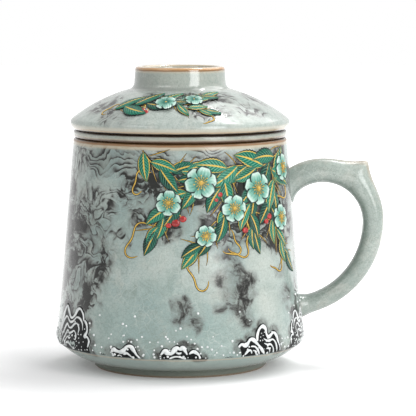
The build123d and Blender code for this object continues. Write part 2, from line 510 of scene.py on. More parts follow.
def patched(name: str, skin: Skin, outlines: Sequence[tuple[Pair, list[Pair]]], lift: float) -> Object:
    """Makes thin patches of enamel, each spun in from its outline to a point of its base.

    Args:
        name: Name of the piece.
        skin: What they lie on.
        outlines: For each patch, the point that it closes on and its outline, in angles and runs.
        lift: How far they stand out of the skin.

    Returns:
        The piece.
    """
    rings = 9
    made = []
    for base, outline in outlines:
        deselect()
        bpy.ops.mesh.primitive_grid_add(x_subdivisions=len(outline) - 1, y_subdivisions=rings, size=2)
        patch = bpy.context.object
        steps = len(outline) - 1
        for vertex in patch.data.vertices:
            angle, run = outline[round((vertex.co.x + 1) / 2 * steps)]
            share = (1 - vertex.co.y) / 2
            share = share * share * (3 - 2 * share) if share > 0.5 else share
            place = (angle + (base[0] - angle) * share, run + (base[1] - run) * share)
            vertex.co = skin.at(*place, lift) * MM
        made.append(patch)
    piece = joined(name, made)
    bpy.ops.object.mode_set(mode="EDIT")
    weld()
    return thickened(piece, PATCH_DEPTH)


# ---- finishes ----
class Nodes:
    """Nodes of one tree, laid out by short calls that each return a socket."""

    def __init__(self, owner: bpy.types.ID) -> None:
        """Starts on the nodes that a material or world has."""
        owner.use_nodes = True
        self.nodes = owner.node_tree.nodes
        self.links = owner.node_tree.links

    def node(self, kind: str, values: dict[int | str, object], output: int | str = 0,
             **settings: object) -> Socket:
        """Adds a node.

        Args:
            kind: Its type.
            values: What goes into its inputs: sockets, numbers, vectors or colours.
            output: The output that is wanted.
            **settings: Its own properties.

        Returns:
            The output socket.
        """
        node = self.nodes.new(kind)
        for key, value in settings.items():
            setattr(node, key, value)
        for key, value in values.items():
            self.feed(node.inputs[key], value)
        return node.outputs[output]

    def feed(self, target: Socket, value: object) -> None:
        """Links a socket to an input, or sets the input to a value."""
        if isinstance(value, bpy.types.NodeSocket):
            self.links.new(value, target)
        elif target.type == "RGBA":
            target.default_value = (*value, 1)
        else:
            target.default_value = value

    def vector(self, operation: str, a: object, b: object = None, scale: float | None = None) -> Socket:
        """Vector arithmetic. Distances and lengths come as a number."""
        values = {0: a}
        if b is not None:
            values[1] = b
        if scale is not None:
            values["Scale"] = scale
        output = "Value" if operation in ("DISTANCE", "LENGTH", "DOT_PRODUCT") else "Vector"
        return self.node("ShaderNodeVectorMath", values, output, operation=operation)

    def maths(self, operation: str, a: object, b: object = 0.0, clamp: bool = False) -> Socket:
        """Arithmetic on numbers."""
        return self.node("ShaderNodeMath", {0: a, 1: b}, operation=operation, use_clamp=clamp)

    def times(self, a: object, b: object) -> Socket:
        """Product of two numbers."""
        return self.maths("MULTIPLY", a, b)

    def plus(self, a: object, b: object) -> Socket:
        """Sum of two numbers."""
        return self.maths("ADD", a, b)

    def step(self, value: object, low: float, high: float) -> Socket:
        """Smooth step from 0 at low to 1 at high. It falls if low is the higher one."""
        if low < high:
            values = {"Value": value, "From Min": low, "From Max": high, "To Min": 0.0, "To Max": 1.0}
        else:
            values = {"Value": value, "From Min": high, "From Max": low, "To Min": 1.0, "To Max": 0.0}
        return self.node("ShaderNodeMapRange", values, interpolation_type="SMOOTHSTEP")

    def seen(self) -> Socket:
        """1 for rays from the camera, or from a mirror or glass, and 0 for those that light."""
        camera, glossy, glass = (
            self.node("ShaderNodeLightPath", {}, name)
            for name in ("Is Camera Ray", "Is Glossy Ray", "Is Transmission Ray")
        )
        return self.maths("ADD", self.maths("ADD", camera, glossy, True), glass, True)


class Recipe(Nodes):
    """Nodes of one finish, whose patterns read object coordinates in millimetres."""

    def __init__(self, name: str, roughness: float) -> None:
        """Starts a material."""
        self.material = bpy.data.materials.new(name)
        super().__init__(self.material)
        self.shader = self.nodes["Principled BSDF"]
        self.setting("Roughness", roughness)
        place = self.node("ShaderNodeTexCoord", {}, "Object")
        self.place = self.vector("SCALE", place, scale=1 / MM)

    def setting(self, name: str, value: object) -> None:
        """Feeds one of the shader's inputs."""
        self.feed(self.shader.inputs[name], value)

    def noise(self, where: Socket, size: float, detail: float = 3.0, roughness: float = 0.5,
              output: int = 0) -> Socket:
        """Noise whose features are about size millimetres across."""
        values = {"Vector": where, "Scale": 1 / size, "Detail": detail, "Roughness": roughness}
        return self.node("ShaderNodeTexNoise", values, output)

    def cells(self, where: Socket, size: float, feature: str = "DISTANCE_TO_EDGE") -> Socket:
        """Cells about size millimetres apart, by their distance to the edge or to the seed."""
        values = {"Vector": where, "Scale": 1 / size}
        return self.node("ShaderNodeTexVoronoi", values, "Distance", feature=feature)

    def blend(self, share: object, a: object, b: object) -> Socket:
        """Colour between a at 0 and b at 1."""
        return self.node("ShaderNodeMix", {0: share, 6: a, 7: b}, 2, data_type="RGBA")

    def warped(self, where: Socket, size: float, reach: float) -> Socket:
        """Coordinates pushed about by noise."""
        push = self.vector("SUBTRACT", self.noise(where, size, 2.0, output=1), (0.5, 0.5, 0.5))
        return self.vector("ADD", where, self.vector("SCALE", push, scale=reach))

    def height(self) -> Socket:
        """Height above the table in millimetres."""
        return self.node("ShaderNodeSeparateXYZ", {0: self.place}, "Z")

    def bump(self, relief: Socket, depth: float) -> Socket:
        """Normal of a relief that is depth millimetres deep."""
        values = {"Height": relief, "Distance": depth * MM, "Strength": 1.0}
        return self.node("ShaderNodeBump", values, "Normal")

    def blade_map(self) -> tuple[Socket, Socket, Socket]:
        """Share along a leaf or petal, share across it, and how far out of its middle line it is."""
        flat = self.node("ShaderNodeUVMap", {}, uv_map="UVMap")
        along = self.node("ShaderNodeSeparateXYZ", {0: flat}, "X")
        across = self.node("ShaderNodeSeparateXYZ", {0: flat}, "Y")
        return along, across, self.times(self.maths("ABSOLUTE", self.maths("SUBTRACT", across, 0.5)), 2.0)

    def done(self, colour: Socket, normal: Socket) -> bpy.types.Material:
        """Feeds the shader and returns the material."""
        self.setting("Base Color", colour)
        self.setting("Normal", normal)
        return self.material


@dataclass(frozen=True)
class Band:
    """Stretch of height where the glaze has run thin or was wiped off; some bands are painted shade instead.
    """

    low: float
    high: float
    soft: float
    colour: Colour
    strength: float = 1.0
    beyond: float = 0.0  # distance from the axis within which there is none of it


@dataclass(frozen=True)
class InkSpot:
    """Soft patch of ink wash under the glaze."""

    angle: float
    run: float
    reach: float
    strength: float = 1.0


Patches = tuple[tuple[Vector, InkSpot], ...]


def spots(*rows: tuple[float, ...]) -> list[InkSpot]:
    """Patches by their angle, run, reach and strength."""
    return [InkSpot(*row) for row in rows]


@dataclass(frozen=True)
class Wash:
    """One layer of ink wash: clouds, contour lines and dark cores that show within its patches."""

    patches: Patches
    drift: tuple[float, float, float] = (0.0, 0.0, 0.0)  # across which the lines pile up, per millimetre
    size: float = 15.0
    lines: float = 8.0
    line_ink: float = 0.75
    cloud_ink: float = 0.30
    core_ink: float = 0.6
    shade: float = 0.0  # even shade over the whole patch
    puff_ink: float = 0.0  # ink between the small lobes that the clouds are built of
    ragged: bool = True  # whether the patches' edges wander


@dataclass(frozen=True)
class Celadon:
    """Pale grey-green glaze with a fine craze, ink-wash layers, thin brown edges, and painted shade in some
    of its bands and pools.
    """

    name: str
    roughness: float
    bands: tuple[Band, ...] = ()
    washes: tuple[Wash, ...] = ()
    pools: Patches = ()
    milk: Patches = ()
    pale: Colour = (0.435, 0.495, 0.465)
    cool: Colour = (0.275, 0.358, 0.342)
    warm: Colour = (0.455, 0.462, 0.415)
    pooled: Colour = (0.250, 0.350, 0.328)
    milky: Colour = (0.51, 0.55, 0.505)
    smoky: Colour = (0.235, 0.290, 0.255)
    wash: Colour = (0.100, 0.097, 0.090)
    ink: Colour = (0.014, 0.015, 0.013)
    craze: Colour = (0.62, 0.66, 0.62)
    fine_craze: Colour = (0.16, 0.19, 0.16)
    craze_share: float = 0.26
    fine_share: float = 0.36
    ior: float = 1.55
    coat: float = 0.0
    coat_roughness: float = 0.03
    thin: bool = False  # whether the piece has an attribute "thin" that says where the clay shows through and, below 0, where painted shade goes
    bare: Colour = (0.42, 0.355, 0.27)

    def make(self) -> bpy.types.Material:
        """Lays out the glaze's nodes and returns its material."""
        recipe = Recipe(self.name, self.roughness)
        recipe.setting("IOR", self.ior)
        recipe.setting("Coat Weight", self.coat)
        recipe.setting("Coat Roughness", self.coat_roughness)
        colour = self.ground(recipe)
        if self.thin:
            colour = self.thinned(recipe, colour)
        bent = recipe.warped(recipe.place, 3.0, 1.6)
        lines = recipe.step(recipe.cells(bent, 3.2), 0.05, 0.0)
        colour = self.crazed(recipe, colour, bent, lines)
        if self.washes:
            colour = self.inked(recipe, colour)
        colour = self.banded(recipe, colour)
        peel = recipe.noise(recipe.place, 5, 2.0)
        relief = recipe.maths("SUBTRACT", peel, recipe.times(lines, 0.25))
        return recipe.done(colour, recipe.bump(relief, 0.05))

    def ground(self, recipe: Recipe) -> Socket:
        """Colour of the plain glaze, mottled and cloudy, pooled or milky in its patches; on the knob the
        pooled patch is painted shade.
        """
        where = recipe.place
        broad = recipe.step(recipe.noise(where, 26, 2.0), 0.35, 0.65)
        colour = recipe.blend(broad, self.cool, self.pale)
        mottle = recipe.step(recipe.noise(where, 7, 5.0, 0.65), 0.46, 0.72)
        colour = recipe.blend(recipe.times(mottle, 0.62), colour, self.warm)
        cloudy = recipe.step(recipe.noise(recipe.warped(where, 6.0, 5.0), 3.0, 6.0, 0.75), 0.42, 0.66)
        colour = recipe.blend(recipe.times(cloudy, 0.54), colour, self.smoky)
        if self.milk:
            wisps = recipe.noise(recipe.warped(recipe.warped(where, 18.0, 14.0), 5.0, 4.0), 11.0, 6.0, 0.70)
            colour = recipe.blend(recipe.times(recipe.step(wisps, 0.50, 0.68), 0.66), colour, self.smoky)
        # pools: thicker, greener glaze, and on the knob painted shade
        if self.pools:
            thick = recipe.times(self.cover(recipe, self.pools, where), 0.75)
            colour = recipe.blend(thick, colour, self.pooled)
        if self.milk:
            thin = recipe.times(self.cover(recipe, self.milk, recipe.warped(where, 14.0, 9.0)), 0.8)
            colour = recipe.blend(thin, colour, self.milky)
        return colour

    def thinned(self, recipe: Recipe, colour: Socket) -> Socket:
        """Glaze colour, darkened with painted shade where the attribute "thin" is below 0 and clay-brown
        where it is near 1.
        """
        share = recipe.node("ShaderNodeAttribute", {}, "Fac", attribute_name="thin")
        # painted shade: the pooled colour goes where "thin" is below 0, on the handle's side that faces the
        # cup
        colour = recipe.blend(recipe.times(recipe.step(share, -0.20, -0.95), 0.65), colour, self.pooled)
        share = recipe.plus(share, recipe.times(recipe.noise(recipe.place, 3.0, 4.0, 0.65), 0.7))
        return recipe.blend(recipe.times(recipe.step(share, 0.45, 1.20), 0.85), colour, self.bare)

    def crazed(self, recipe: Recipe, colour: Socket, bent: Socket, lines: Socket) -> Socket:
        """Glaze colour with a dark net of fine cracks and pale wide ones, which come and go."""
        fine = recipe.step(recipe.cells(bent, 1.3), 0.07, 0.0)
        colour = recipe.blend(recipe.times(fine, self.fine_share), colour, self.fine_craze)
        there = recipe.step(recipe.noise(recipe.place, 9.0, 3.0), 0.38, 0.62)
        pale = recipe.times(recipe.times(lines, there), self.craze_share)
        return recipe.blend(pale, colour, self.craze)

    def inked(self, recipe: Recipe, colour: Socket) -> Socket:
        """Glaze colour with all the washes under it."""
        where = recipe.place
        near = recipe.warped(recipe.warped(where, 24.0, 13.0), 6.0, 6.0)
        swirl = recipe.warped(recipe.warped(recipe.warped(where, 20.0, 18.0), 6.5, 5.5), 1.8, 1.1)
        total = None
        for wash in self.washes:
            ink = self.wash_ink(recipe, wash, near if wash.ragged else where, swirl)
            total = ink if total is None else recipe.plus(total, ink)
        colour = recipe.blend(recipe.maths("MINIMUM", total, 0.90), colour, self.wash)
        return recipe.blend(recipe.step(total, 0.45, 1.25), colour, self.ink)

    def cover(self, recipe: Recipe, patches: Patches, near: Socket) -> Socket:
        """How deep in its patches a point lies, 0 outside and about 1 in their middle."""
        total = None
        for centre, spot in patches:
            distance = recipe.vector("DISTANCE", near, tuple(centre))
            fall = recipe.times(recipe.step(distance, spot.reach, spot.reach * 0.1), spot.strength)
            total = fall if total is None else recipe.maths("MAXIMUM", total, fall)
        return total

    def wash_ink(self, recipe: Recipe, wash: Wash, near: Socket, swirl: Socket) -> Socket:
        """How much ink one layer lays down here."""
        cover = self.cover(recipe, wash.patches, near)
        pattern = recipe.noise(swirl, wash.size, 2.0, 0.4)
        if any(wash.drift):
            pattern = recipe.plus(pattern, recipe.vector("DOT_PRODUCT", swirl, wash.drift))
        saw = recipe.maths("FRACT", recipe.times(pattern, wash.lines))
        fade = recipe.maths("POWER", recipe.maths("SUBTRACT", 1.0, saw), 2.3)
        line = recipe.maths("MAXIMUM", fade, recipe.step(saw, 0.90, 1.0))
        broken = recipe.step(recipe.noise(recipe.place, 8.0, 2.0), 0.30, 0.60)
        line = recipe.times(recipe.times(line, broken), wash.line_ink)
        cloud = recipe.step(recipe.noise(swirl, 9.0, 6.0, 0.72), 0.40, 0.72)
        cloud = recipe.times(cloud, wash.cloud_ink)
        body = recipe.plus(recipe.plus(line, cloud), wash.shade)
        if wash.puff_ink:
            body = recipe.plus(body, self.puffs(recipe, swirl, wash.puff_ink))
        body = recipe.times(body, recipe.step(cover, 0.0, 0.55))
        deep = recipe.plus(recipe.noise(swirl, 7.0, 6.0, 0.72), recipe.times(cover, 0.34))
        core = recipe.times(recipe.step(deep, 0.74, 1.04), wash.core_ink)
        return recipe.plus(body, core)

    def puffs(self, recipe: Recipe, swirl: Socket, strength: float) -> Socket:
        """Ink in the creases between small lobes, broken up over the patch."""
        crease = recipe.step(recipe.cells(swirl, 4.6), 0.15, 0.0)
        small = recipe.step(recipe.cells(swirl, 2.3), 0.12, 0.0)
        both = recipe.maths("MAXIMUM", crease, recipe.times(small, 0.6))
        there = recipe.step(recipe.noise(recipe.place, 5.0, 3.0), 0.42, 0.66)
        return recipe.times(recipe.times(both, there), strength)

    def banded(self, recipe: Recipe, colour: Socket) -> Socket:
        """Glaze colour with the thin, bare and painted-shade bands over it."""
        uneven = recipe.times(recipe.maths("SUBTRACT", recipe.noise(recipe.place, 7.0), 0.5), 0.5)
        height = recipe.plus(recipe.height(), uneven)
        reach = recipe.vector("LENGTH", recipe.vector("MULTIPLY", recipe.place, (1, 1, 0)))
        for band in self.bands:
            rise = recipe.step(height, band.low - band.soft, band.low + band.soft)
            fall = recipe.step(height, band.high + band.soft, band.high - band.soft)
            share = recipe.times(recipe.times(rise, fall), band.strength)
            if band.beyond:
                share = recipe.times(share, recipe.step(reach, band.beyond - 0.3, band.beyond + 0.3))
            colour = recipe.blend(share, colour, band.colour)
        return colour


@dataclass(frozen=True)
class Clay:
    """Bare stoneware with fine grog and a few iron specks."""

    name: str = "bare_stoneware"
    light: Colour = (0.40, 0.31, 0.22)
    dark: Colour = (0.24, 0.17, 0.115)
    speck: Colour = (0.05, 0.03, 0.02)
    roughness: float = 0.62

    def make(self) -> bpy.types.Material:
        """Lays out the clay's nodes and returns its material."""
        recipe = Recipe(self.name, self.roughness)
        grain = recipe.noise(recipe.place, 0.8, 4.0, 0.7)
        colour = recipe.blend(recipe.step(grain, 0.3, 0.7), self.dark, self.light)
        specks = recipe.step(recipe.cells(recipe.place, 1.6, "F1"), 0.14, 0.06)
        colour = recipe.blend(recipe.times(specks, 0.7), colour, self.speck)
        return recipe.done(colour, recipe.bump(grain, 0.05))


@dataclass(frozen=True)
class Enamel:
    """Glossy raised enamel of one colour, a little uneven where it pooled."""

    name: str
    body: Colour
    pooled: Colour
    roughness: float = 0.16
    specular: float = 0.5

    def make(self) -> bpy.types.Material:
        """Lays out the enamel's nodes and returns its material."""
        recipe = Recipe(self.name, self.roughness)
        recipe.setting("Specular IOR Level", self.specular)
        pool = recipe.noise(recipe.place, 1.4, 3.0, 0.6)
        colour = recipe.blend(recipe.step(pool, 0.35, 0.65), self.body, self.pooled)
        return recipe.done(colour, recipe.bump(pool, 0.03))


@dataclass(frozen=True)
class LeafEnamel:
    """Jade enamel with paler side veins, a gold edge and a dark outline, laid by the leaf's UV map."""

    name: str = "jade_leaf_enamel"
    deep: Colour = (0.0, 0.012, 0.010)
    jade: Colour = (0.0, 0.145, 0.085)
    mint: Colour = (0.16, 0.50, 0.34)
    gold: Colour = (0.66, 0.44, 0.08)
    outline: Colour = (0.006, 0.016, 0.013)
    roughness: float = 0.15
    specular: float = 0.25
    veins: float = 9.0  # pairs of side veins
    sweep: float = 0.55  # how far a side vein runs on towards the tip

    def make(self) -> bpy.types.Material:
        """Lays out the enamel's nodes and returns its material."""
        recipe = Recipe(self.name, self.roughness)
        recipe.setting("Specular IOR Level", self.specular)
        along, across, out = recipe.blade_map()
        tint = recipe.node("ShaderNodeAttribute", {}, "Fac", attribute_name="tint")
        lit_half = recipe.times(recipe.step(across, 0.49, 0.51), 0.32)
        shade = recipe.plus(tint, recipe.times(recipe.noise(recipe.place, 2.2, 3.0), 0.6))
        shade = recipe.plus(recipe.plus(shade, lit_half), recipe.times(out, 0.35))
        colour = recipe.blend(recipe.step(shade, 0.45, 1.55), self.deep, self.jade)
        slant = recipe.maths("SUBTRACT", along, recipe.times(out, self.sweep / 2))
        wave = recipe.maths("SINE", recipe.times(slant, math.tau * self.veins))
        vein = recipe.times(recipe.step(wave, 0.45, 0.98), recipe.step(out, 0.95, 0.30))
        faint = recipe.plus(0.25, recipe.times(tint, 0.55))
        colour = recipe.blend(recipe.times(vein, faint), colour, self.mint)
        rib = recipe.step(out, 0.13, 0.06)
        colour = recipe.blend(rib, colour, self.gold)
        edge = recipe.times(recipe.step(out, 0.70, 0.76), recipe.step(out, 0.86, 0.81))
        colour = recipe.blend(recipe.times(edge, recipe.step(tint, 0.55, 0.70)), colour, self.gold)
        colour = recipe.blend(recipe.step(out, 0.80, 0.88), colour, self.outline)
        return recipe.done(colour, recipe.bump(recipe.plus(wave, recipe.step(out, 0.3, 0.0)), 0.04))


@dataclass(frozen=True)
class PetalEnamel:
    """Pale aqua enamel, greener at the petal's root, with fine streaks and a dark edge, by its UV map."""

    name: str = "petal_enamel"
    root: Colour = (0.010, 0.135, 0.095)
    pale: Colour = (0.20, 0.44, 0.35)
    white: Colour = (0.54, 0.70, 0.62)
    outline: Colour = (0.006, 0.018, 0.016)
    roughness: float = 0.15
    specular: float = 0.30
    streaks: float = 5.0

    def make(self) -> bpy.types.Material:
        """Lays out the enamel's nodes and returns its material."""
        recipe = Recipe(self.name, self.roughness)
        recipe.setting("Specular IOR Level", self.specular)
        along, across, out = recipe.blade_map()
        uneven = recipe.times(recipe.noise(recipe.place, 1.5, 3.0), 0.35)
        reach = recipe.plus(along, recipe.maths("SUBTRACT", uneven, 0.17))
        colour = recipe.blend(recipe.step(reach, 0.15, 0.62), self.root, self.pale)
        colour = recipe.blend(recipe.step(reach, 0.55, 0.88), colour, self.white)
        wave = recipe.maths("SINE", recipe.times(across, math.tau * self.streaks))
        streak = recipe.times(recipe.step(wave, 0.3, 0.95), recipe.step(reach, 0.95, 0.25))
        colour = recipe.blend(recipe.times(streak, 0.55), colour, self.root)
        edge = recipe.maths("MAXIMUM", recipe.step(out, 0.76, 0.86), recipe.step(along, 0.87, 0.92))
        colour = recipe.blend(edge, colour, self.outline)
        return recipe.done(colour, recipe.bump(wave, 0.03))


class Finishes:
    """The finishes that more than one class uses, each made once."""

    def __init__(self) -> None:
        """Makes the shared materials."""
        self.leaf = LeafEnamel().make()
        self.petal = PetalEnamel().make()
        self.gold = Enamel("gold_line_enamel", (0.66, 0.43, 0.07), (0.45, 0.27, 0.035), 0.24).make()
        self.red = Enamel("red_bud_enamel", (0.50, 0.018, 0.012), (0.25, 0.008, 0.008), 0.12).make()
        self.white = Enamel("white_crest_enamel", (0.82, 0.84, 0.83), (0.66, 0.70, 0.70), 0.2).make()
        self.ink = Enamel("ink_line_enamel", (0.006, 0.007, 0.007), (0.014, 0.016, 0.016), 0.3, 0.08).make()
        self.clay = Clay().make()


def dress(piece: Object, material: bpy.types.Material, body: str, slot: str, *nodes: str) -> Object:
    """Gives a piece its material and its place in the frame.

    Args:
        piece: The finished mesh.
        material: What covers it.
        body: Body of the frame that it moves with.
        slot: The record's slot that its finish belongs to. Not used.
        *nodes: Nodes of the frame that it stands for.

    Returns:
        The piece.
    """
    piece.data.materials.clear()
    piece.data.materials.append(material)
    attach(piece, body)
    if nodes:
        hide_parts(*nodes)
    log.info("%s rides on %s, %d faces", piece.name, body, len(piece.data.polygons))
    return piece


def line_with(piece: Object, material: bpy.types.Material, inside: Callable[[Vector, Vector], bool]) -> None:
    """Gives the faces that lie inside a second material, by their centre in millimetres and normal."""
    piece.data.materials.append(material)
    for face in piece.data.polygons:
        if inside(face.center / MM, face.normal):
            face.material_index = 1


def top_of(node: str) -> float:
    """Highest point of a node of the frame, in millimetres."""
    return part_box(node)[1].z / MM


def foot_of(node: str) -> float:
    """Lowest point of a node of the frame, in millimetres."""
    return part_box(node)[0].z / MM


def radius_of(node: str) -> float:
    """Widest radius of a turned node of the frame, in millimetres."""
    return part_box(node)[1].x / MM


def measured(measure: Callable[[str], float], node: str) -> float:
    """Field of a dataclass that is measured on a node of the frame when an object is made."""
    return field(default_factory=lambda: measure(node))


# ---- mug ----
@dataclass
class Mug:
    """Cup, foot ring and handle."""

    height: float = measured(top_of, "mug_body")
    foot_height: float = measured(foot_of, "mug_body")
    mouth_radius: float = 42.0
    belly_spread: float = 6.9
    belly_height: float = 12.9
    turned_height: float = 8.9
    turned_inset: float = 2.0
    turned_round: float = 0.5
    underside_bulge: float = 0.8
    wall: float = 3.6
    floor: float = 5.0
    corner: float = 9.0
    lip_round: float = 1.3
    foot_radius: float = 34.0
    foot_width: float = 4.6
    foot_flare: float = 1.2
    foot_edge: float = 0.6
    handle_drop: float = 8.5
    finger_gap: float = 27.0
    grip_radius: float = 15.7
    arm_droop: float = 6.4
    tail_height: float = 27.2
    grip_thick: float = 9.6
    tail_thick: float = 7.0
    grip_width: float = 10.8
    spur_height: float = 4.9
    spur_angle: float = 54.0
    spur_spread: float = 8.5
    spur_tip: float = 2.0
    spur_pinch: float = 0.35
    root_flare: float = 1.2
    root_run: float = 1.5
    root_sink: float = 2.2
    section_power: float = 2.3
    section_points: int = 40
    section_step: float = 2.5  # degrees from one section of the handle to the next
    spur_step: float = 0.75

    def wall_radius(self, height: float) -> float:
        """Outside radius of the straight wall at a height."""
        share = (self.height - height) / (self.height - self.belly_height)
        return self.mouth_radius + self.belly_spread * share

    def outside(self) -> list[Pair]:
        """Outline of the outside, from the underside's seat on the foot up to the lip."""
        seat = (self.foot_radius + self.foot_flare, self.foot_height)
        belly = (self.mouth_radius + self.belly_spread, self.belly_height)
        edge = (belly[0] - self.turned_inset, self.turned_height)
        under = [*bulged(edge, seat, self.underside_bulge, 14)[::-1], edge]
        shoulder = tangent_arc(belly, (self.belly_spread, self.belly_height - self.height), edge, 12)[::-1]
        soft = rounded(under[-2], edge, shoulder[1], self.turned_round, 5)
        lip = rounded(belly, (self.mouth_radius, self.height), (0, self.height), self.lip_round, 8)
        return [seat, *under[1:-1], *soft, *shoulder[2:], belly, *lip]

    def skin(self) -> Skin:
        """The wall from the turned edge to the lip."""
        return Skin([p for p in densified(self.outside()) if p[1] >= self.turned_height + 0.2], Run.HEIGHT)

    def body_outline(self) -> list[Pair]:
        """Outline of the cup, from the axis under its floor round to the axis inside."""
        floor = self.foot_height + self.floor
        inner_lip = (self.mouth_radius - self.wall, self.height)
        inner_low = (self.wall_radius(floor) - self.wall, floor)
        lip = rounded((self.mouth_radius, self.height), inner_lip, inner_low, self.lip_round, 8)
        corner = rounded(inner_lip, inner_low, (0, floor), self.corner, 14)
        return densified([(0, self.foot_height), *self.outside(), *lip, *corner, (0, floor)])

    def foot_outline(self) -> list[Pair]:
        """Closed outline of the foot ring."""
        inner, outer, edge = self.foot_radius - self.foot_width, self.foot_radius, self.foot_edge
        root = (outer + self.foot_flare, self.foot_height)
        ring = [root, (inner, self.foot_height), (inner, edge)]
        ring += [(inner + edge, 0), (outer - edge, 0), (outer, edge)]
        return [*ring, *tangent_arc((outer, edge), (0, 1), root, 6)]

    def arcs(self) -> tuple[tuple[Pair, float, float], ...]:
        """Centre, radius and first or last angle of the inside of the arm, the bend and the tail."""
        top = self.height - self.handle_drop - self.grip_thick
        middle = top - self.grip_radius
        bend_x = self.wall_radius(middle) + self.finger_gap - self.grip_radius
        reach = bend_x - self.wall_radius(top - self.arm_droop)
        arm_radius = math.hypot(reach, self.arm_droop) ** 2 / (2 * self.arm_droop)
        sink = math.degrees(self.root_sink / arm_radius)
        arm_start = math.degrees(math.atan2(arm_radius - self.arm_droop, -reach)) + sink
        fall = middle - self.tail_height
        inset = bend_x + self.grip_radius - self.wall_radius(self.tail_height)
        tail_radius = math.hypot(inset, fall) ** 2 / (2 * inset)
        sink = math.degrees(self.root_sink / tail_radius)
        tail_end = math.degrees(math.atan2(-fall, tail_radius - inset)) - sink
        tail = (bend_x + self.grip_radius - tail_radius, middle)
        return (
            ((bend_x, top - arm_radius), arm_radius, arm_start),
            ((bend_x, middle), self.grip_radius, self.spur_angle),
            (tail, tail_radius, tail_end),
        )

    def section(self, angle: float) -> list[Vector]:
        """Points of the handle's section at an angle round its line."""
        arm, bend, tail = self.arcs()
        centre, radius, _ = arm if angle > 90 else tail if angle < 0 else bend
        share = (arm[2] - angle) / (arm[2] - tail[2])
        out = Vector((math.cos(math.radians(angle)), 0, math.sin(math.radians(angle))))
        inside = Vector((centre[0], 0, centre[1])) + out * radius
        past = self.spur_tip - math.hypot(angle - self.spur_angle, self.spur_tip)
        spur = math.exp(past / self.spur_spread)
        flare = self.root_flare * math.exp(-max(0.0, inside.x - self.wall_radius(inside.z)) / self.root_run)
        thick = self.grip_thick + (self.tail_thick - self.grip_thick) * share**2
        thick += self.spur_height * spur + 2 * flare
        middle = inside + out * (thick / 2 - flare)
        points = []
        for k in range(self.section_points):
            turn = math.tau * k / self.section_points
            across, along = (
                math.copysign(abs(value) ** (2 / self.section_power), value)
                for value in (math.sin(turn), math.cos(turn))
            )
            width = (self.grip_width / 2 + flare) * (1 - self.spur_pinch * spur * max(0.0, along))
            points.append(middle + out * (thick / 2 * along) + Vector((0, width * across, 0)))
        return points

    def mark_thin(self, handle: Object) -> None:
        """Marks how thin the glaze is on the handle's outer ridge, in the attribute "thin", and sets it below
        0 on the side that faces the cup for painted shade.
        """
        values = []
        for angle in self.handle_angles():
            spur = math.exp(-((angle - self.spur_angle) / 16) ** 2)
            for k in range(self.section_points):
                outward = math.cos(math.tau * k / self.section_points)
                # min(0, outward) is below 0 on the side that faces the cup, which the glaze darkens as
                # painted shade
                values.append(max(0.0, outward - 0.55) / 0.45 * (0.45 + 0.55 * spur) + min(0.0, outward))
        handle.data.attributes.new("thin", "FLOAT", "POINT").data.foreach_set("value", values)

    def is_inside(self, place: Vector, normal: Vector) -> bool:
        """Whether a point of the cup lies on its inside, below the rounded lip."""
        within = math.hypot(place.x, place.y) < self.wall_radius(place.z) - self.wall / 2
        return within and normal.z > -0.5 and place.z > self.foot_height + self.floor / 2

    def is_bare(self, place: Vector, normal: Vector) -> bool:
        """Whether a point of the foot ring is left bare: its standing face and its inside."""
        reach = math.hypot(place.x, place.y)
        return place.z < self.foot_edge / 2 or reach < self.foot_radius - self.foot_width / 2

    def handle_angles(self) -> list[float]:
        """Angles of the handle's sections, closer together at the thumb rest."""
        arm, _, tail = self.arcs()
        angles = [arm[2]]
        while angles[-1] > tail[2]:
            near = abs(angles[-1] - self.spur_angle) < self.spur_spread
            angles.append(max(tail[2], angles[-1] - (self.spur_step if near else self.section_step)))
        return angles

    def billows(self) -> list[InkSpot]:
        """Where marbled clouds stand on the wall, all the way round."""
        return spots(
            (-66, 80, 17, 0.8), (-60, 66, 17), (-52, 54, 15), (-62, 44, 14), (-46, 44, 14), (-50, 32, 13),
            (-64, 30, 11), (-44, 66, 13, 0.8), (-80, 60, 18), (-84, 36, 15), (-34, 54, 10, 0.8),
            (-74, 48, 14), (-26, 71, 10, 0.7), (-13, 68, 13, 0.9), (24, 60, 15, 0.9), (44, 57, 15),
            (62, 62, 14, 0.9), (4, 76, 13, 0.8), (34, 76, 13, 0.8), (106, 70, 19), (118, 48, 16, 0.9),
            (142, 78, 17), (152, 54, 16), (168, 38, 13), (184, 66, 19), (204, 42, 15), (222, 76, 18),
            (234, 54, 16), (256, 68, 18), (272, 42, 15), (282, 78, 15),
        )

    def strata(self) -> list[InkSpot]:
        """Where level, wavy contour lines run."""
        return spots(
            (-42, 86, 12), (-30, 84, 13), (-19, 80, 12), (-8, 84, 10, 0.8), (14, 86, 10, 0.7),
            (128, 62, 12, 0.8), (200, 84, 13), (246, 84, 13),
        )

    def plumes(self) -> list[InkSpot]:
        """Where contour lines run up the wall."""
        return spots(
            (58, 82, 12, 0.85), (68, 72, 13, 0.85), (76, 58, 10, 0.8), (82, 70, 11, 0.9), (80, 48, 9, 0.8),
            (77, 38, 9, 0.8), (74, 28, 8, 0.7), (96, 40, 13, 0.8), (160, 74, 13, 0.8), (214, 60, 12, 0.8),
        )

    def smudges(self) -> list[InkSpot]:
        """Where the wash is smudged dark."""
        return spots(
            (-51, 32, 7, 1.1), (-46, 30, 4), (-42, 33, 4), (-42, 42, 5, 1.1), (-40, 49, 4),
            (-37, 28, 4, 0.9), (-73, 50, 8, 1.1), (-68, 72, 7, 1.0), (-75, 38, 8, 1.1), (-76, 60, 8, 1.1),
            (-66, 54, 7, 1.1), (-65, 45, 5, 1.0), (-70, 63, 6, 1.0), (-13, 60, 9, 0.9), (-22, 62, 7, 0.6),
            (-78, 48, 9, 1.2), (16, 64, 9, 0.8), (38, 57, 9), (50, 54, 8, 0.8), (-60, 60, 8, 0.7),
            (112, 30, 10, 0.9), (136, 36, 11), (178, 48, 11, 0.9), (190, 30, 9), (218, 32, 10),
            (244, 38, 11), (262, 52, 10, 0.8),
        )

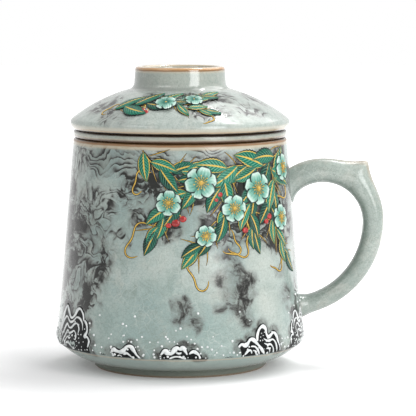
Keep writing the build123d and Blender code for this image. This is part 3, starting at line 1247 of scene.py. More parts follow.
    def clouds(self) -> list[InkSpot]:
        """Where soft clouds of wash stand by themselves."""
        return spots(
            (22, 47, 6, 0.8), (25, 41, 8, 0.9), (28, 35, 10, 1.1), (30, 29, 9, 1.1), (33, 23, 6),
            (19, 30, 5, 0.7), (4, 27, 8), (1, 32, 6, 0.8), (7, 23, 5, 0.7), (62, 32, 7, 0.6),
            (58, 41, 6, 0.6), (64, 26, 5, 0.6),
        )

    def milk(self) -> list[InkSpot]:
        """Where the glaze is paler and milkier."""
        return spots(
            (46, 44, 18, 0.9), (46, 28, 13, 0.8), (12, 42, 15, 0.5), (-10, 46, 13, 0.4), (60, 50, 12, 0.8),
            (-40, 72, 10, 0.6), (150, 40, 20), (230, 50, 20),
        )

    def shadows(self) -> list[InkSpot]:
        """Dark wash that sets off the tea branch."""
        return spots(
            (-8, 62, 9), (-2, 69, 9), (7, 75, 10), (18, 79, 10), (20, 70, 9), (16, 58, 9), (10, 52, 7, 0.8),
            (31, 81, 9), (38, 74, 9), (38, 64, 9), (47, 80, 10), (54, 74, 9), (54, 64, 9), (58, 54, 8),
            (63, 83, 9), (-14, 82, 8, 0.8), (170, 66, 9), (180, 74, 9), (194, 76, 9), (194, 62, 9),
            (206, 82, 9),
        )

    def pools(self) -> list[InkSpot]:
        """Where the glaze pooled thicker and greener."""
        return spots(
            (-30, 22, 22, 0.8), (-6, 36, 26, 0.6), (14, 18, 20, 0.8), (38, 16, 20, 0.8), (-34, 70, 20, 0.5),
            (54, 42, 20, 0.55), (62, 28, 20, 0.7), (120, 32, 30), (196, 50, 30), (260, 34, 28),
        )

    def lip_bands(self) -> tuple[Band, ...]:
        """Where the glaze has run thin at the lip, with painted shade at its very top for the gap under the
        infuser's flange.
        """
        lip = self.height
        return (
            Band(lip - 2.3, lip + 1, 0.6, (0.52, 0.44, 0.32), 0.75),
            Band(lip - 1.25, lip + 1, 0.25, (0.27, 0.155, 0.075)),
            # painted shade: near-black top of the lip, where the gap under the flange is dark
            Band(lip - 0.50, lip + 1, 0.25, (0.07, 0.035, 0.012)),
        )

    def glaze(self, crests: Iterable[InkSpot]) -> Celadon:
        """The wall's glaze, with dark halos behind the wave crests and painted shade on the bevel under the
        belly.
        """
        placed = self.skin().placed
        washes = (
            Wash(placed(self.billows()), size=15.0, lines=12.5, line_ink=1.05, cloud_ink=0.34, core_ink=0.40,
                 shade=0.05, puff_ink=0.85),
            Wash(placed(self.strata()), (0.012, 0.012, 0.060), 24.0, 7.5, 1.20, 0.24, 0.0, 0.12, 0.15),
            Wash(placed(self.plumes()), (0.034, 0.050, 0.008), 24.0, 7.0, 0.95, 0.30, 0.1, 0.14, 0.25),
            Wash(placed(self.smudges()), size=10.0, lines=7.0, line_ink=0.40, cloud_ink=0.95, core_ink=1.05,
                 puff_ink=0.1),
            Wash(placed(self.shadows()), size=12.0, lines=6.0, line_ink=0.7, cloud_ink=0.50, core_ink=0.50,
                 shade=0.34, puff_ink=0.4),
            Wash(placed(self.clouds()), size=6.0, lines=3.0, line_ink=0.15, cloud_ink=0.95, core_ink=1.0,
                 shade=0.26, puff_ink=0.2),
            Wash(placed(crests), lines=3.0, line_ink=0.15, cloud_ink=0.75, core_ink=0.3, shade=0.32,
                 ragged=False),
        )
        edge = self.turned_height
        bands = (
            *self.lip_bands(),
            Band(edge - 0.30, edge + 0.30, 0.25, (0.54, 0.45, 0.34), 0.62),
            # painted shade: the bevel under the belly darkens towards the foot, where the table shades it
            Band(edge - 8, edge - 0.5, 0.3, (0.33, 0.395, 0.36), 0.65),
            Band(edge - 8, edge - 4.2, 1.6, (0.19, 0.22, 0.185), 0.85),
        )
        pools, milk = placed(self.pools()), placed(self.milk())
        return Celadon("painted_celadon", 0.13, bands, washes, pools, milk, ior=1.38)

    def foot_glaze(self) -> Celadon:
        """The foot ring's thin glaze, darkened with painted shade under the belly, with clay showing at its
        edge.
        """
        bands = (
            # painted shade: the whole foot ring is darkened as it sits in shade under the belly
            Band(-1, self.foot_height + 1, 0.5, (0.175, 0.19, 0.15), 0.8),
            Band(0.2, 0.8, 0.3, (0.30, 0.19, 0.10), 0.5),
            Band(-1, 0.25, 0.2, (0.34, 0.25, 0.16)),
        )
        return Celadon("foot_celadon", 0.35, bands)

    def build(self, finishes: Finishes, crests: Iterable[InkSpot]) -> None:
        """Builds and dresses the mug's pieces."""
        body = turned("mug_cup", self.body_outline())
        dress(body, self.glaze(crests).make(), "mug", "crackle_glaze", "mug_body")
        line_with(body, Celadon("inside_celadon", 0.16, self.lip_bands()).make(), self.is_inside)
        foot = turned("mug_foot", self.foot_outline())
        dress(foot, self.foot_glaze().make(), "mug", "bare_clay", "mug_foot_ring")
        line_with(foot, finishes.clay, self.is_bare)
        handle = lofted("mug_grip", [self.section(angle) for angle in self.handle_angles()])
        # pooled is the dark colour of the painted shade on the grip's side that faces the cup
        plain = Celadon("handle_celadon", 0.16, pale=(0.38, 0.435, 0.395), cool=(0.315, 0.37, 0.335),
                        pooled=(0.17, 0.215, 0.190), fine_share=0.42, thin=True)
        self.mark_thin(handle)
        dress(handle, plain.make(), "mug", "crackle_glaze", "mug_handle")


# ---- infuser ----
@dataclass
class Infuser:
    """Perforated inner cup that hangs by its flange from the mug's lip."""

    flange_radius: float = measured(radius_of, "infuser_basket")
    top: float = measured(top_of, "infuser_basket")
    strainer_top: float = measured(foot_of, "infuser_basket")
    flange_foot: float = measured(top_of, "mug_body")
    strainer_radius: float = measured(radius_of, "infuser_strainer")
    flange_round: float = 1.1
    throat_radius: float = 36.9
    throat_round: float = 1.0
    basket_wall: float = 2.6
    cove: float = 2.0
    cove_depth: float = 0.25

    def outline(self) -> list[Pair]:
        """Closed outline of the basket's wall and flange."""
        low, up, foot = self.strainer_top, self.top, self.flange_foot
        inner_low = self.strainer_radius - self.basket_wall
        throat = (self.throat_radius, foot)
        inner_up = (self.throat_radius - self.basket_wall, up)
        cove_up = (inner_low + 0.05, low + self.cove)
        edge_low, edge_up = (self.flange_radius, foot), (self.flange_radius, up)
        line = [(self.strainer_radius, low)]
        line += rounded(line[0], throat, edge_low, self.throat_round)
        line += rounded(throat, edge_low, edge_up, self.flange_round)
        line += rounded(edge_low, edge_up, inner_up, self.flange_round)
        line += rounded(edge_up, inner_up, cove_up, self.flange_round)
        line += [cove_up, *bulged(cove_up, (inner_low - self.cove, low), self.cove * self.cove_depth, 6)]
        return densified([*line, (self.strainer_radius, low)])

    def build(self, frame: dict) -> None:
        """Builds and dresses the basket, and dresses the strainer."""
        foot, top, edge = self.flange_foot, self.top, self.flange_radius - self.flange_round
        bands = (
            # painted shade: near-black foot of the flange, for the gap over the mug's lip
            Band(foot - 0.5, foot + 1.05, 0.25, (0.075, 0.040, 0.018)),
            Band(foot + 1.0, foot + 1.35, 0.3, (0.34, 0.26, 0.17), 0.7),
            # painted shade: near-black outer edge of the flange's top, for the gap under the lid
            Band(top - 0.75, top + 0.5, 0.25, (0.03, 0.018, 0.010), 1.0, edge),
        )
        glaze = Celadon("infuser_celadon", 0.15, bands, pale=(0.335, 0.34, 0.285),
                        cool=(0.28, 0.30, 0.25)).make()
        dress(turned("infuser_cup", self.outline(), 160), glaze, "infuser", "infuser_glaze", "infuser_basket")
        plate = frame["nodes"]["infuser_strainer"]
        plate.data.materials.clear()
        plate.data.materials.append(glaze)


# ---- lid ----
@dataclass
class Lid:
    """Domed lid with a locating ring under it and an open ring knob."""

    widest: float = measured(radius_of, "lid_dome")
    seat: float = measured(foot_of, "lid_dome")
    crown: float = measured(top_of, "lid_dome")
    knob_top: float = measured(top_of, "lid_knob_ring")
    knob_foot: float = measured(radius_of, "lid_knob_ring")
    ring_outer: float = measured(radius_of, "lid_locating_ring")
    ring_low: float = measured(foot_of, "lid_locating_ring")
    edge: float = 4.4
    widest_height: float = 2.4
    edge_inset: float = 0.9
    undercut: float = 1.6
    bearing: float = 5.0
    bulge: float = 1.2
    dome_wall: float = 4.0
    ring_wall: float = 2.6
    ring_round: float = 0.8
    knob_wall: float = 2.9
    knob_draft: float = 0.5
    knob_flare: float = 2.1
    knob_flare_height: float = 2.6
    knob_cove: float = 1.6
    knob_round: float = 1.2

    def dome_line(self) -> list[Pair]:
        """Outside of the dome, from the knob's foot out to its rounded edge."""
        low = (self.widest - self.edge_inset, self.seat + self.edge)
        return [(self.knob_foot, self.crown), *bulged((self.knob_foot, self.crown), low, self.bulge, 28)]

    def under_line(self) -> list[Pair]:
        """Underside of the dome, from its crown out to the locating ring's inside."""
        inner = self.ring_outer - self.ring_wall
        dropped = [(r, z - self.dome_wall) for r, z in self.dome_line() if r <= inner]
        return [*dropped, (inner, self.dome_height(inner) - self.dome_wall)]

    def dome_height(self, radius: float) -> float:
        """Height of the dome's outside at a distance from the axis."""
        line = self.dome_line()
        k = next(k for k, point in enumerate(line) if point[0] >= radius)
        (r0, z0), (r1, z1) = line[k - 1], line[k]
        return z0 + (z1 - z0) * (radius - r0) / (r1 - r0)

    def skin(self) -> Skin:
        """The dome from the knob's foot to the edge."""
        return Skin(self.dome_line(), Run.RADIUS)

    def dome_outline(self) -> list[Pair]:
        """Outline of the dome, from the axis on top round to the axis underneath."""
        shoulder = (self.widest - self.edge_inset, self.seat + self.edge)
        bearing = (self.widest - self.undercut, self.seat)
        rim = through(shoulder, (self.widest, self.seat + self.widest_height), bearing, 14)
        ring_seat = self.dome_height(self.ring_outer) - self.dome_wall
        inner = self.ring_outer - self.ring_wall
        under = [(bearing[0] - self.bearing, self.seat), (self.ring_outer, ring_seat), (inner, ring_seat)]
        line = [(0, self.crown), *self.dome_line(), *rim, *under, *self.under_line()[::-1]]
        return densified([*line, (0, self.crown - self.dome_wall)])

    def ring_outline(self) -> list[Pair]:
        """Closed outline of the locating ring."""
        outer, inner = self.ring_outer, self.ring_outer - self.ring_wall
        top = self.dome_height(outer) - self.dome_wall
        low_out, low_in, up_in = (outer, self.ring_low), (inner, self.ring_low), (inner, top)
        line = [(outer, top), *rounded((outer, top), low_out, low_in, self.ring_round)]
        return densified([*line, *rounded(low_out, low_in, up_in, self.ring_round), up_in, (outer, top)])

    def knob_outline(self) -> list[Pair]:
        """Closed outline of the ring knob."""
        root = self.knob_foot - self.knob_flare
        lip = root - self.knob_draft
        inner_root, inner_lip = root - self.knob_wall, lip - self.knob_wall
        neck = (root, self.crown + self.knob_flare_height)
        cove = (inner_root, self.crown + self.knob_cove)
        outer_lip, hollow_lip = (lip, self.knob_top), (inner_lip, self.knob_top)
        line = tangent_arc(neck, (self.knob_draft, neck[1] - self.knob_top), (self.knob_foot, self.crown), 10)
        line = [*line[::-1], neck]
        line += rounded(neck, outer_lip, hollow_lip, self.knob_round, 8)
        line += rounded(outer_lip, hollow_lip, cove, self.knob_round, 8)
        line += [cove, *bulged(cove, (inner_root - self.knob_cove, self.crown), 0.4, 6)]
        return densified([*line, line[0]])

    def is_underside(self, place: Vector, normal: Vector) -> bool:
        """Whether a point of the dome is on its underside, within the rounded edge."""
        return normal.z < -0.2 and math.hypot(place.x, place.y) < self.widest - self.undercut - 0.2

    def billows(self) -> list[InkSpot]:
        """Where marbled clouds stand on the dome."""
        return spots(
            (-62, 32, 11, 0.8), (-38, 36, 11), (-20, 28, 11), (6, 26, 11), (16, 34, 9), (34, 26, 10),
            (50, 36, 9, 0.9), (74, 29, 9, 0.8), (30, 36, 7, 0.8), (104, 34, 12), (138, 28, 12),
            (170, 35, 12), (204, 28, 12), (238, 35, 12), (276, 30, 12, 0.8),
        )

    def smudges(self) -> list[InkSpot]:
        """Where the wash on the dome is smudged dark."""
        return spots(
            (-34, 33, 8), (-46, 36, 6, 0.8), (-8, 33, 7), (14, 25, 7), (25, 28, 6, 0.8), (120, 31, 8),
            (186, 31, 8), (252, 30, 8),
        )

    def dome_glaze(self) -> Celadon:
        """The dome's glaze, with its clouds of ink, its brown edge and painted shade at its foot."""
        placed, seat = self.skin().placed, self.seat
        washes = (
            Wash(placed(self.billows()), size=11.0, lines=8.0, line_ink=1.2, cloud_ink=0.22, core_ink=0.4,
                 shade=0.03, puff_ink=0.5),
            Wash(placed(self.smudges()), size=8.0, lines=6.0, line_ink=0.8, cloud_ink=0.5, core_ink=0.9,
                 puff_ink=0.3),
        )
        bands = (
            Band(seat + 0.6, seat + 2.4, 0.7, (0.47, 0.44, 0.345), 0.75),
            Band(seat + 0.5, seat + 1.2, 0.25, (0.46, 0.35, 0.23), 0.85),
            # painted shade: near-black foot of the edge, for the gap over the infuser's flange
            Band(seat - 1, seat + 0.6, 0.25, (0.02, 0.011, 0.006)),
        )
        return Celadon("lid_celadon", 0.14, bands, washes, pale=(0.44, 0.50, 0.46),
                       cool=(0.39, 0.44, 0.41))

    def knob_glaze(self) -> Celadon:
        """The knob's glaze, brown at its lip, with painted shade as darker glaze on its left."""
        crown, top = self.crown, self.knob_top
        rim = self.knob_foot - self.knob_flare - self.knob_draft - self.knob_round
        bands = (
            Band(top - 2.1, top + 1, 0.5, (0.50, 0.43, 0.31), 0.6),
            Band(top - 0.45, top + 1, 0.2, (0.44, 0.33, 0.20), 0.8),
            Band(top - 1.50, top + 1, 0.22, (0.23, 0.115, 0.038), 1.0, rim),
            Band(top - 0.90, top + 1, 0.2, (0.48, 0.26, 0.10), 1.0, rim),
            Band(crown + 0.2, crown + 1.2, 0.35, (0.17, 0.195, 0.17), 0.55),
            Band(top - 0.20, top + 1, 0.1, (0.62, 0.52, 0.38), 0.8),
            Band(crown - 0.5, crown + 0.15, 0.2, (0.42, 0.42, 0.37), 0.6),
        )
        # painted shade: the knob's left, away from the lights, gets the darker pooled colour
        thick = ((Vector((-19, -10, crown + 8)), InkSpot(-60, 21, 24)),)
        return Celadon("knob_celadon", 0.12, bands, pools=thick, pale=(0.40, 0.435, 0.38),
                       cool=(0.33, 0.37, 0.33), pooled=(0.23, 0.26, 0.23), coat=0.6, coat_roughness=0.14)

    def build(self) -> None:
        """Builds and dresses the lid's pieces."""
        seat, low = self.seat, self.ring_low
        cover = turned("lid_cover", self.dome_outline())
        dress(cover, self.dome_glaze().make(), "lid", "crackle_glaze", "lid_dome")
        under_bands = (Band(seat - 1, seat + 0.45, 0.2, (0.36, 0.27, 0.19)),)
        line_with(cover, Celadon("underside_celadon", 0.16, under_bands).make(), self.is_underside)
        ring_bands = (Band(low - 1, low + 0.5, 0.2, (0.42, 0.32, 0.23)),)
        ring_glaze = Celadon("locating_ring_celadon", 0.16, ring_bands).make()
        ring = turned("lid_ring", self.ring_outline(), 128)
        dress(ring, ring_glaze, "lid", "infuser_glaze", "lid_locating_ring")
        knob = turned("lid_knob", self.knob_outline(), 160)
        dress(knob, self.knob_glaze().make(), "lid", "crackle_glaze", "lid_knob_ring")


# ---- wave crests ----
@dataclass(frozen=True)
class Stroke:
    """White line of a crest, in millimetres across and up from the middle of its base."""

    half_width: float
    points: tuple[Pair, ...]
    rimmed: bool = False  # whether ink shows beside it


@dataclass(frozen=True)
class CrestForm:
    """A wave crest: the ink that fills it and the white strokes over that."""

    fill: tuple[Pair, ...]
    strokes: tuple[Stroke, ...]
    foam: tuple[Pair, ...] = ()  # drops that lie over the ink


TOWER = CrestForm(
    fill=((-13.0, 0), (-12.6, 6.5), (-10.2, 11.2), (-7.4, 15.8), (-6, 16.6), (-4.4, 15.2), (-2, 12.8),
          (0.5, 13.8), (2.5, 16.2), (4.6, 16.6), (6.8, 14.6), (9.2, 11.2), (9.4, 8.0), (11.2, 5.0),
          (10.6, 0)),
    strokes=(
        Stroke(0.66, ((-12.5, 2.5), (-12, 6.5), (-10, 11), (-7.5, 15.5), (-6, 16.5), (-4.5, 15), (-2, 12.5),
                      (0.5, 13.5), (2.5, 16), (4.5, 16.5), (6.5, 14.5), (7.0, 12.2)), True),
        Stroke(0.58, ((7.5, 12.5), (9, 11), (9.5, 8.5), (8.2, 6.4), (9.8, 6.3), (11, 4.8),
                      (10.3, 2.4)), True),
        Stroke(0.42, ((-11.5, 5), (-10.5, 8.5), (-7.5, 11.8), (-5.5, 12.4), (-3, 10.8), (-0.5, 11.2),
                      (2, 13.0), (4.5, 12.8), (6.3, 11), (6.6, 8.5))),
        Stroke(0.42, ((-11.5, 3.2), (-8.5, 6.5), (-5.5, 9.6), (-3.5, 8.6), (-1.5, 8.7), (1, 10.4),
                      (2.8, 10.6), (4.2, 9.0), (3.7, 6.8))),
        Stroke(0.38, ((-10, 2.0), (-7, 4.6), (-4.5, 7.2), (-2.8, 6.4), (-0.8, 7), (1, 7.7), (2.4, 6.2),
                      (2.0, 4.5), (0.9, 4.6))),
        Stroke(0.34, ((-8.5, 1.0), (-6.5, 3), (-4.5, 4.8), (-2.8, 4.4), (-1.6, 5.0))),
        Stroke(0.38, ((-6.8, 0.6), (-5.5, 2.3), (-3.5, 2.6), (-1.8, 1.6), (-0.4, 0.1))),
    ),
    foam=((3.4, 2.2), (5, 3.6), (6.6, 2.2), (4.6, 5.3), (7.6, 4.2), (2, 1.5), (5.9, 0.9), (8.2, 1.2),
          (5.9, 6.8), (0.8, 2.9), (3.9, 0.7), (7.9, 9.2)),
)
TWIN = CrestForm(
    fill=((-10.2, 0), (-11.6, 4.0), (-9.5, 4.8), (-7, 6.4), (-5.5, 6.3), (-4.0, 5.6), (-3.6, 7.8),
          (-2.4, 10.1), (-0.6, 11.0), (0.9, 9.9), (1.4, 7.8), (3.8, 7.5), (5.3, 8.0), (6.9, 6.6),
          (7.9, 3.9), (9.8, 0)),
    strokes=(
        Stroke(0.72, ((-12.3, 3.9), (-11, 4.9), (-9.5, 4.4), (-8.3, 5), (-7, 6.4), (-5.5, 6.2), (-4, 4.8),
                      (-2.5, 3.2), (-1, 1.6), (0.6, 0.1)), True),
        Stroke(0.38, ((-6.8, 3.8), (-5, 3.6), (-3.8, 2.5), (-2.8, 1.2), (-1.9, 0.1))),
        Stroke(0.30, ((-5.9, 2.2), (-4.8, 1.9), (-4, 1.0), (-3.5, 0.1))),
        Stroke(0.44, ((-9.2, 0.7), (-8.1, 2.2), (-6.8, 2.2), (-6.1, 1.0))),
        Stroke(0.66, ((-3.6, 5.6), (-3.5, 7.8), (-2.4, 10), (-0.6, 10.9), (0.8, 9.8), (1.2, 7.6), (2.3, 6.6),
                      (3.8, 7.4), (5.3, 7.9), (6.8, 6.5), (7.8, 3.8), (9.5, 0.6)), True),
        Stroke(0.40, ((-0.4, 6.2), (1.2, 5.3), (2.6, 5.1), (4.5, 5.4), (5.9, 4.2), (6.8, 2), (7.7, 0.2))),
        Stroke(0.36, ((-0.2, 4.4), (1.5, 3.7), (3, 3.7), (4.3, 2.6), (5.2, 0.9), (5.7, 0.1))),
        Stroke(0.30, ((0.8, 2.2), (2, 2.3), (2.9, 1.4), (3.3, 0.2))),
    ),
    foam=((-1.4, 8.3), (-0.6, 7.4), (-1.9, 6.9), (-1.0, 5.6), (-2.2, 5.6), (0.2, 8.6)),
)
ROLL = CrestForm(
    fill=((-5.4, 0), (-5.8, 1.8), (-4.6, 2.8), (-3.3, 2.5), (-1.7, 2.4), (-0.3, 3.0), (1.1, 4.5), (2.7, 4.5),
          (3.9, 3.2), (5, 1.5), (6.0, 0)),
    strokes=(
        Stroke(0.76, ((-5.9, 1.8), (-4.7, 2.9), (-3.3, 2.4), (-1.7, 2.2), (-0.3, 2.9), (1.1, 4.4), (2.7, 4.4),
                      (3.9, 3.1), (4.9, 1.5), (6, 0.1)), True),
        Stroke(0.38, ((-5.7, 1.5), (-5.1, 0.8), (-4.2, 0.9))),
        Stroke(0.40, ((-0.6, 1.2), (0.8, 1.9), (2, 1.1), (2.9, 0.1))),
        Stroke(0.28, ((-3.4, 0.4), (-2.3, 0.9), (-1.5, 0.3))),
    ),
)
SWELL = CrestForm(
    fill=((-7.0, 0), (-7.5, 2.0), (-6.2, 3.2), (-3.7, 2.6), (-2.6, 3.8), (-1.5, 4.6), (0.8, 4.6), (1.8, 3.2),
          (3.2, 2.6), (4.6, 3.2), (6.1, 2.6), (7.1, 1.2), (7.3, 0)),
    strokes=(
        Stroke(0.82, ((-7.7, 1.8), (-6.2, 3.3), (-5, 2.6), (-3.7, 2.4), (-2.6, 3.7), (-1.5, 4.5), (-0.4, 4.1),
                      (0.8, 4.5), (1.7, 3.1), (2.3, 2.0)), True),
        Stroke(0.56, ((3.0, 2.2), (4.6, 3.1), (6.1, 2.4), (7, 1.2), (7.1, 0.2)), True),
        Stroke(0.40, ((-4.4, 0.3), (-2.4, 1.1), (-0.4, 1.0), (1.4, 0.2))),
        Stroke(0.34, ((-1.9, 2.8), (-0.8, 2.4), (0.2, 2.7))),
    ),
    foam=((-6.4, 0.7), (-5.2, 1.3), (2.6, 0.8)),
)


@dataclass(frozen=True)
class CrestPlace:
    """Where a wave crest stands round the mug, its scale and its hand."""

    angle: float
    form: CrestForm
    scale: float = 1.0
    hand: int = 1

    @property
    def top(self) -> float:
        """Height of the crest over its base."""
        return max(up for _, up in self.form.fill) * self.scale


@dataclass
class Waves:
    """White wave crests and spray that run round the mug above its turned edge."""

    skin: Skin
    base: float = 9.6  # height that the crests stand on
    white_width: float = 1.22  # width of the strokes as laid, in their drawn width
    white_proud: float = 0.40  # height of a stroke in its half width
    rim: float = 0.40  # how far the ink shows past a stroke on each side
    rim_proud: float = 0.13
    fill_lift: float = 0.05
    halo_gap: float = 3.6  # distance from one spot of dark wash round a crest to the next
    halo_reach: float = 4.6
    spray: int = 430
    seed: int = 7
    places: tuple[CrestPlace, ...] = (
        CrestPlace(-58, TOWER), CrestPlace(-25, ROLL), CrestPlace(1, SWELL), CrestPlace(42, TWIN),
        CrestPlace(73, TOWER, 0.86, -1), CrestPlace(97, ROLL, 1.1), CrestPlace(122, TWIN, 1.0, -1),
        CrestPlace(149, SWELL), CrestPlace(176, TOWER, 0.95), CrestPlace(203, ROLL, 1.1, -1),
        CrestPlace(227, TWIN, 0.95), CrestPlace(253, SWELL, 0.95, -1), CrestPlace(275, ROLL, 1.1),
    )

    def halos(self) -> list[InkSpot]:
        """Dark wash behind each crest."""
        made = []
        for place in self.places:
            gap = self.halo_gap
            for before, point in zip(place.form.fill, place.form.fill[1:]):
                gap += math.dist(before, point) * place.scale
                if gap > self.halo_gap:
                    made.append(InkSpot(*self.laid(place, point), self.halo_reach))
                    gap = 0.0
        return made

    def laid(self, place: CrestPlace, point: Pair) -> Pair:
        """Angle and height of a point of a crest."""
        across, up = point[0] * place.hand * place.scale, point[1] * place.scale
        return self.skin.beside(place.angle, self.base, across, up)

    def foam(self) -> list[list[Pair]]:
        """Short wavy lines along the turned edge between the crests."""
        chance = random.Random(self.seed)
        lines = []
        for angle in range(0, 360, 12):
            start, length = angle + chance.uniform(-3, 3), chance.uniform(2, 5)
            lift = chance.uniform(0.2, 0.7)
            points = [
                self.skin.beside(start, self.base + 0.15, length * k / 5, lift * (k % 2))
                for k in range(6)
            ]
            lines.append(smooth_line(points, 4))
        return lines

    def drops(self) -> list[tuple[float, float, float]]:
        """Angle, height and radius of each drop of spray, denser over the crests."""
        chance = random.Random(self.seed + 1)
        made = [
            (*self.laid(place, point), chance.uniform(0.22, 0.32))
            for place in self.places for point in place.form.foam
        ]
        wanted = len(made) + self.spray
        while len(made) < wanted:
            place = chance.choice(self.places)
            angle = place.angle + chance.gauss(0, 13)
            height = self.base + abs(chance.gauss(0, 1)) * (3.0 + place.top * 0.55) + 0.3
            if height < self.base + 22:
                made.append((angle, height, chance.uniform(0.26, 0.52)))
        return made

    def build(self, finishes: Finishes) -> None:
        """Builds and dresses the crests and the spray."""
        white, rims, fills = [], [], []
        for place in self.places:
            for stroke in place.form.strokes:
                points = smooth_line([self.laid(place, point) for point in stroke.points], 6)
                width = stroke.half_width * place.scale * self.white_width
                white.append(Trail(points, width, 0.45, 0.2, 0.25, 0.22))
                if stroke.rimmed:
                    rims.append(Trail(points, width + self.rim, 0.6, 0.2, 0.2))
            outline = smooth_line([self.laid(place, point) for point in place.form.fill], 5)
            fills.append(((place.angle, self.base), outline))
        rims += [Trail(points, 0.16) for points in self.foam()]
        crests = trailed("wave_crests", self.skin, white, self.white_proud)
        dress(crests, finishes.white, "mug", "white_enamel")
        dress(trailed("wave_crest_rims", self.skin, rims, self.rim_proud), finishes.ink, "mug", "ink_enamel")
        dress(patched("wave_crest_ink", self.skin, fills, self.fill_lift), finishes.ink, "mug", "ink_enamel")
        mould = bead(9, 6, 0.75)
        made = []
        for angle, height, size in self.drops():
            made.append(stamped(mould, lambda p: self.skin.laid(
                (angle, height), p.x * size, p.y * size, p.z * size + 0.04)))
        bpy.data.objects.remove(mould)
        dress(joined("wave_spray", made), finishes.white, "mug", "white_enamel")


# ---- tea branch ----
@dataclass(frozen=True)
class Stem:
    """Woody stem of a branch, with leaves on both sides."""

    points: tuple[Pair, ...]  # angle and run
    leaves: int
    leaf_length: float
    lean: float = 46.0  # degrees between a leaf and the stem


@dataclass(frozen=True)
class Tendril:
    """Gold line that curls up along its length."""

    angle: float
    run: float
    heading: float  # degrees from the way along the skin, towards +angle
    length: float
    curl: float  # degrees it turns through


@dataclass(frozen=True)
class Blossom:
    """Open tea flower, seen from the front."""

    angle: float
    run: float
    size: float  # length of a petal
    turn: float = 0.0  # degrees

    @property
    def middle(self) -> Pair:
        """Angle and run of its middle."""
        return self.angle, self.run


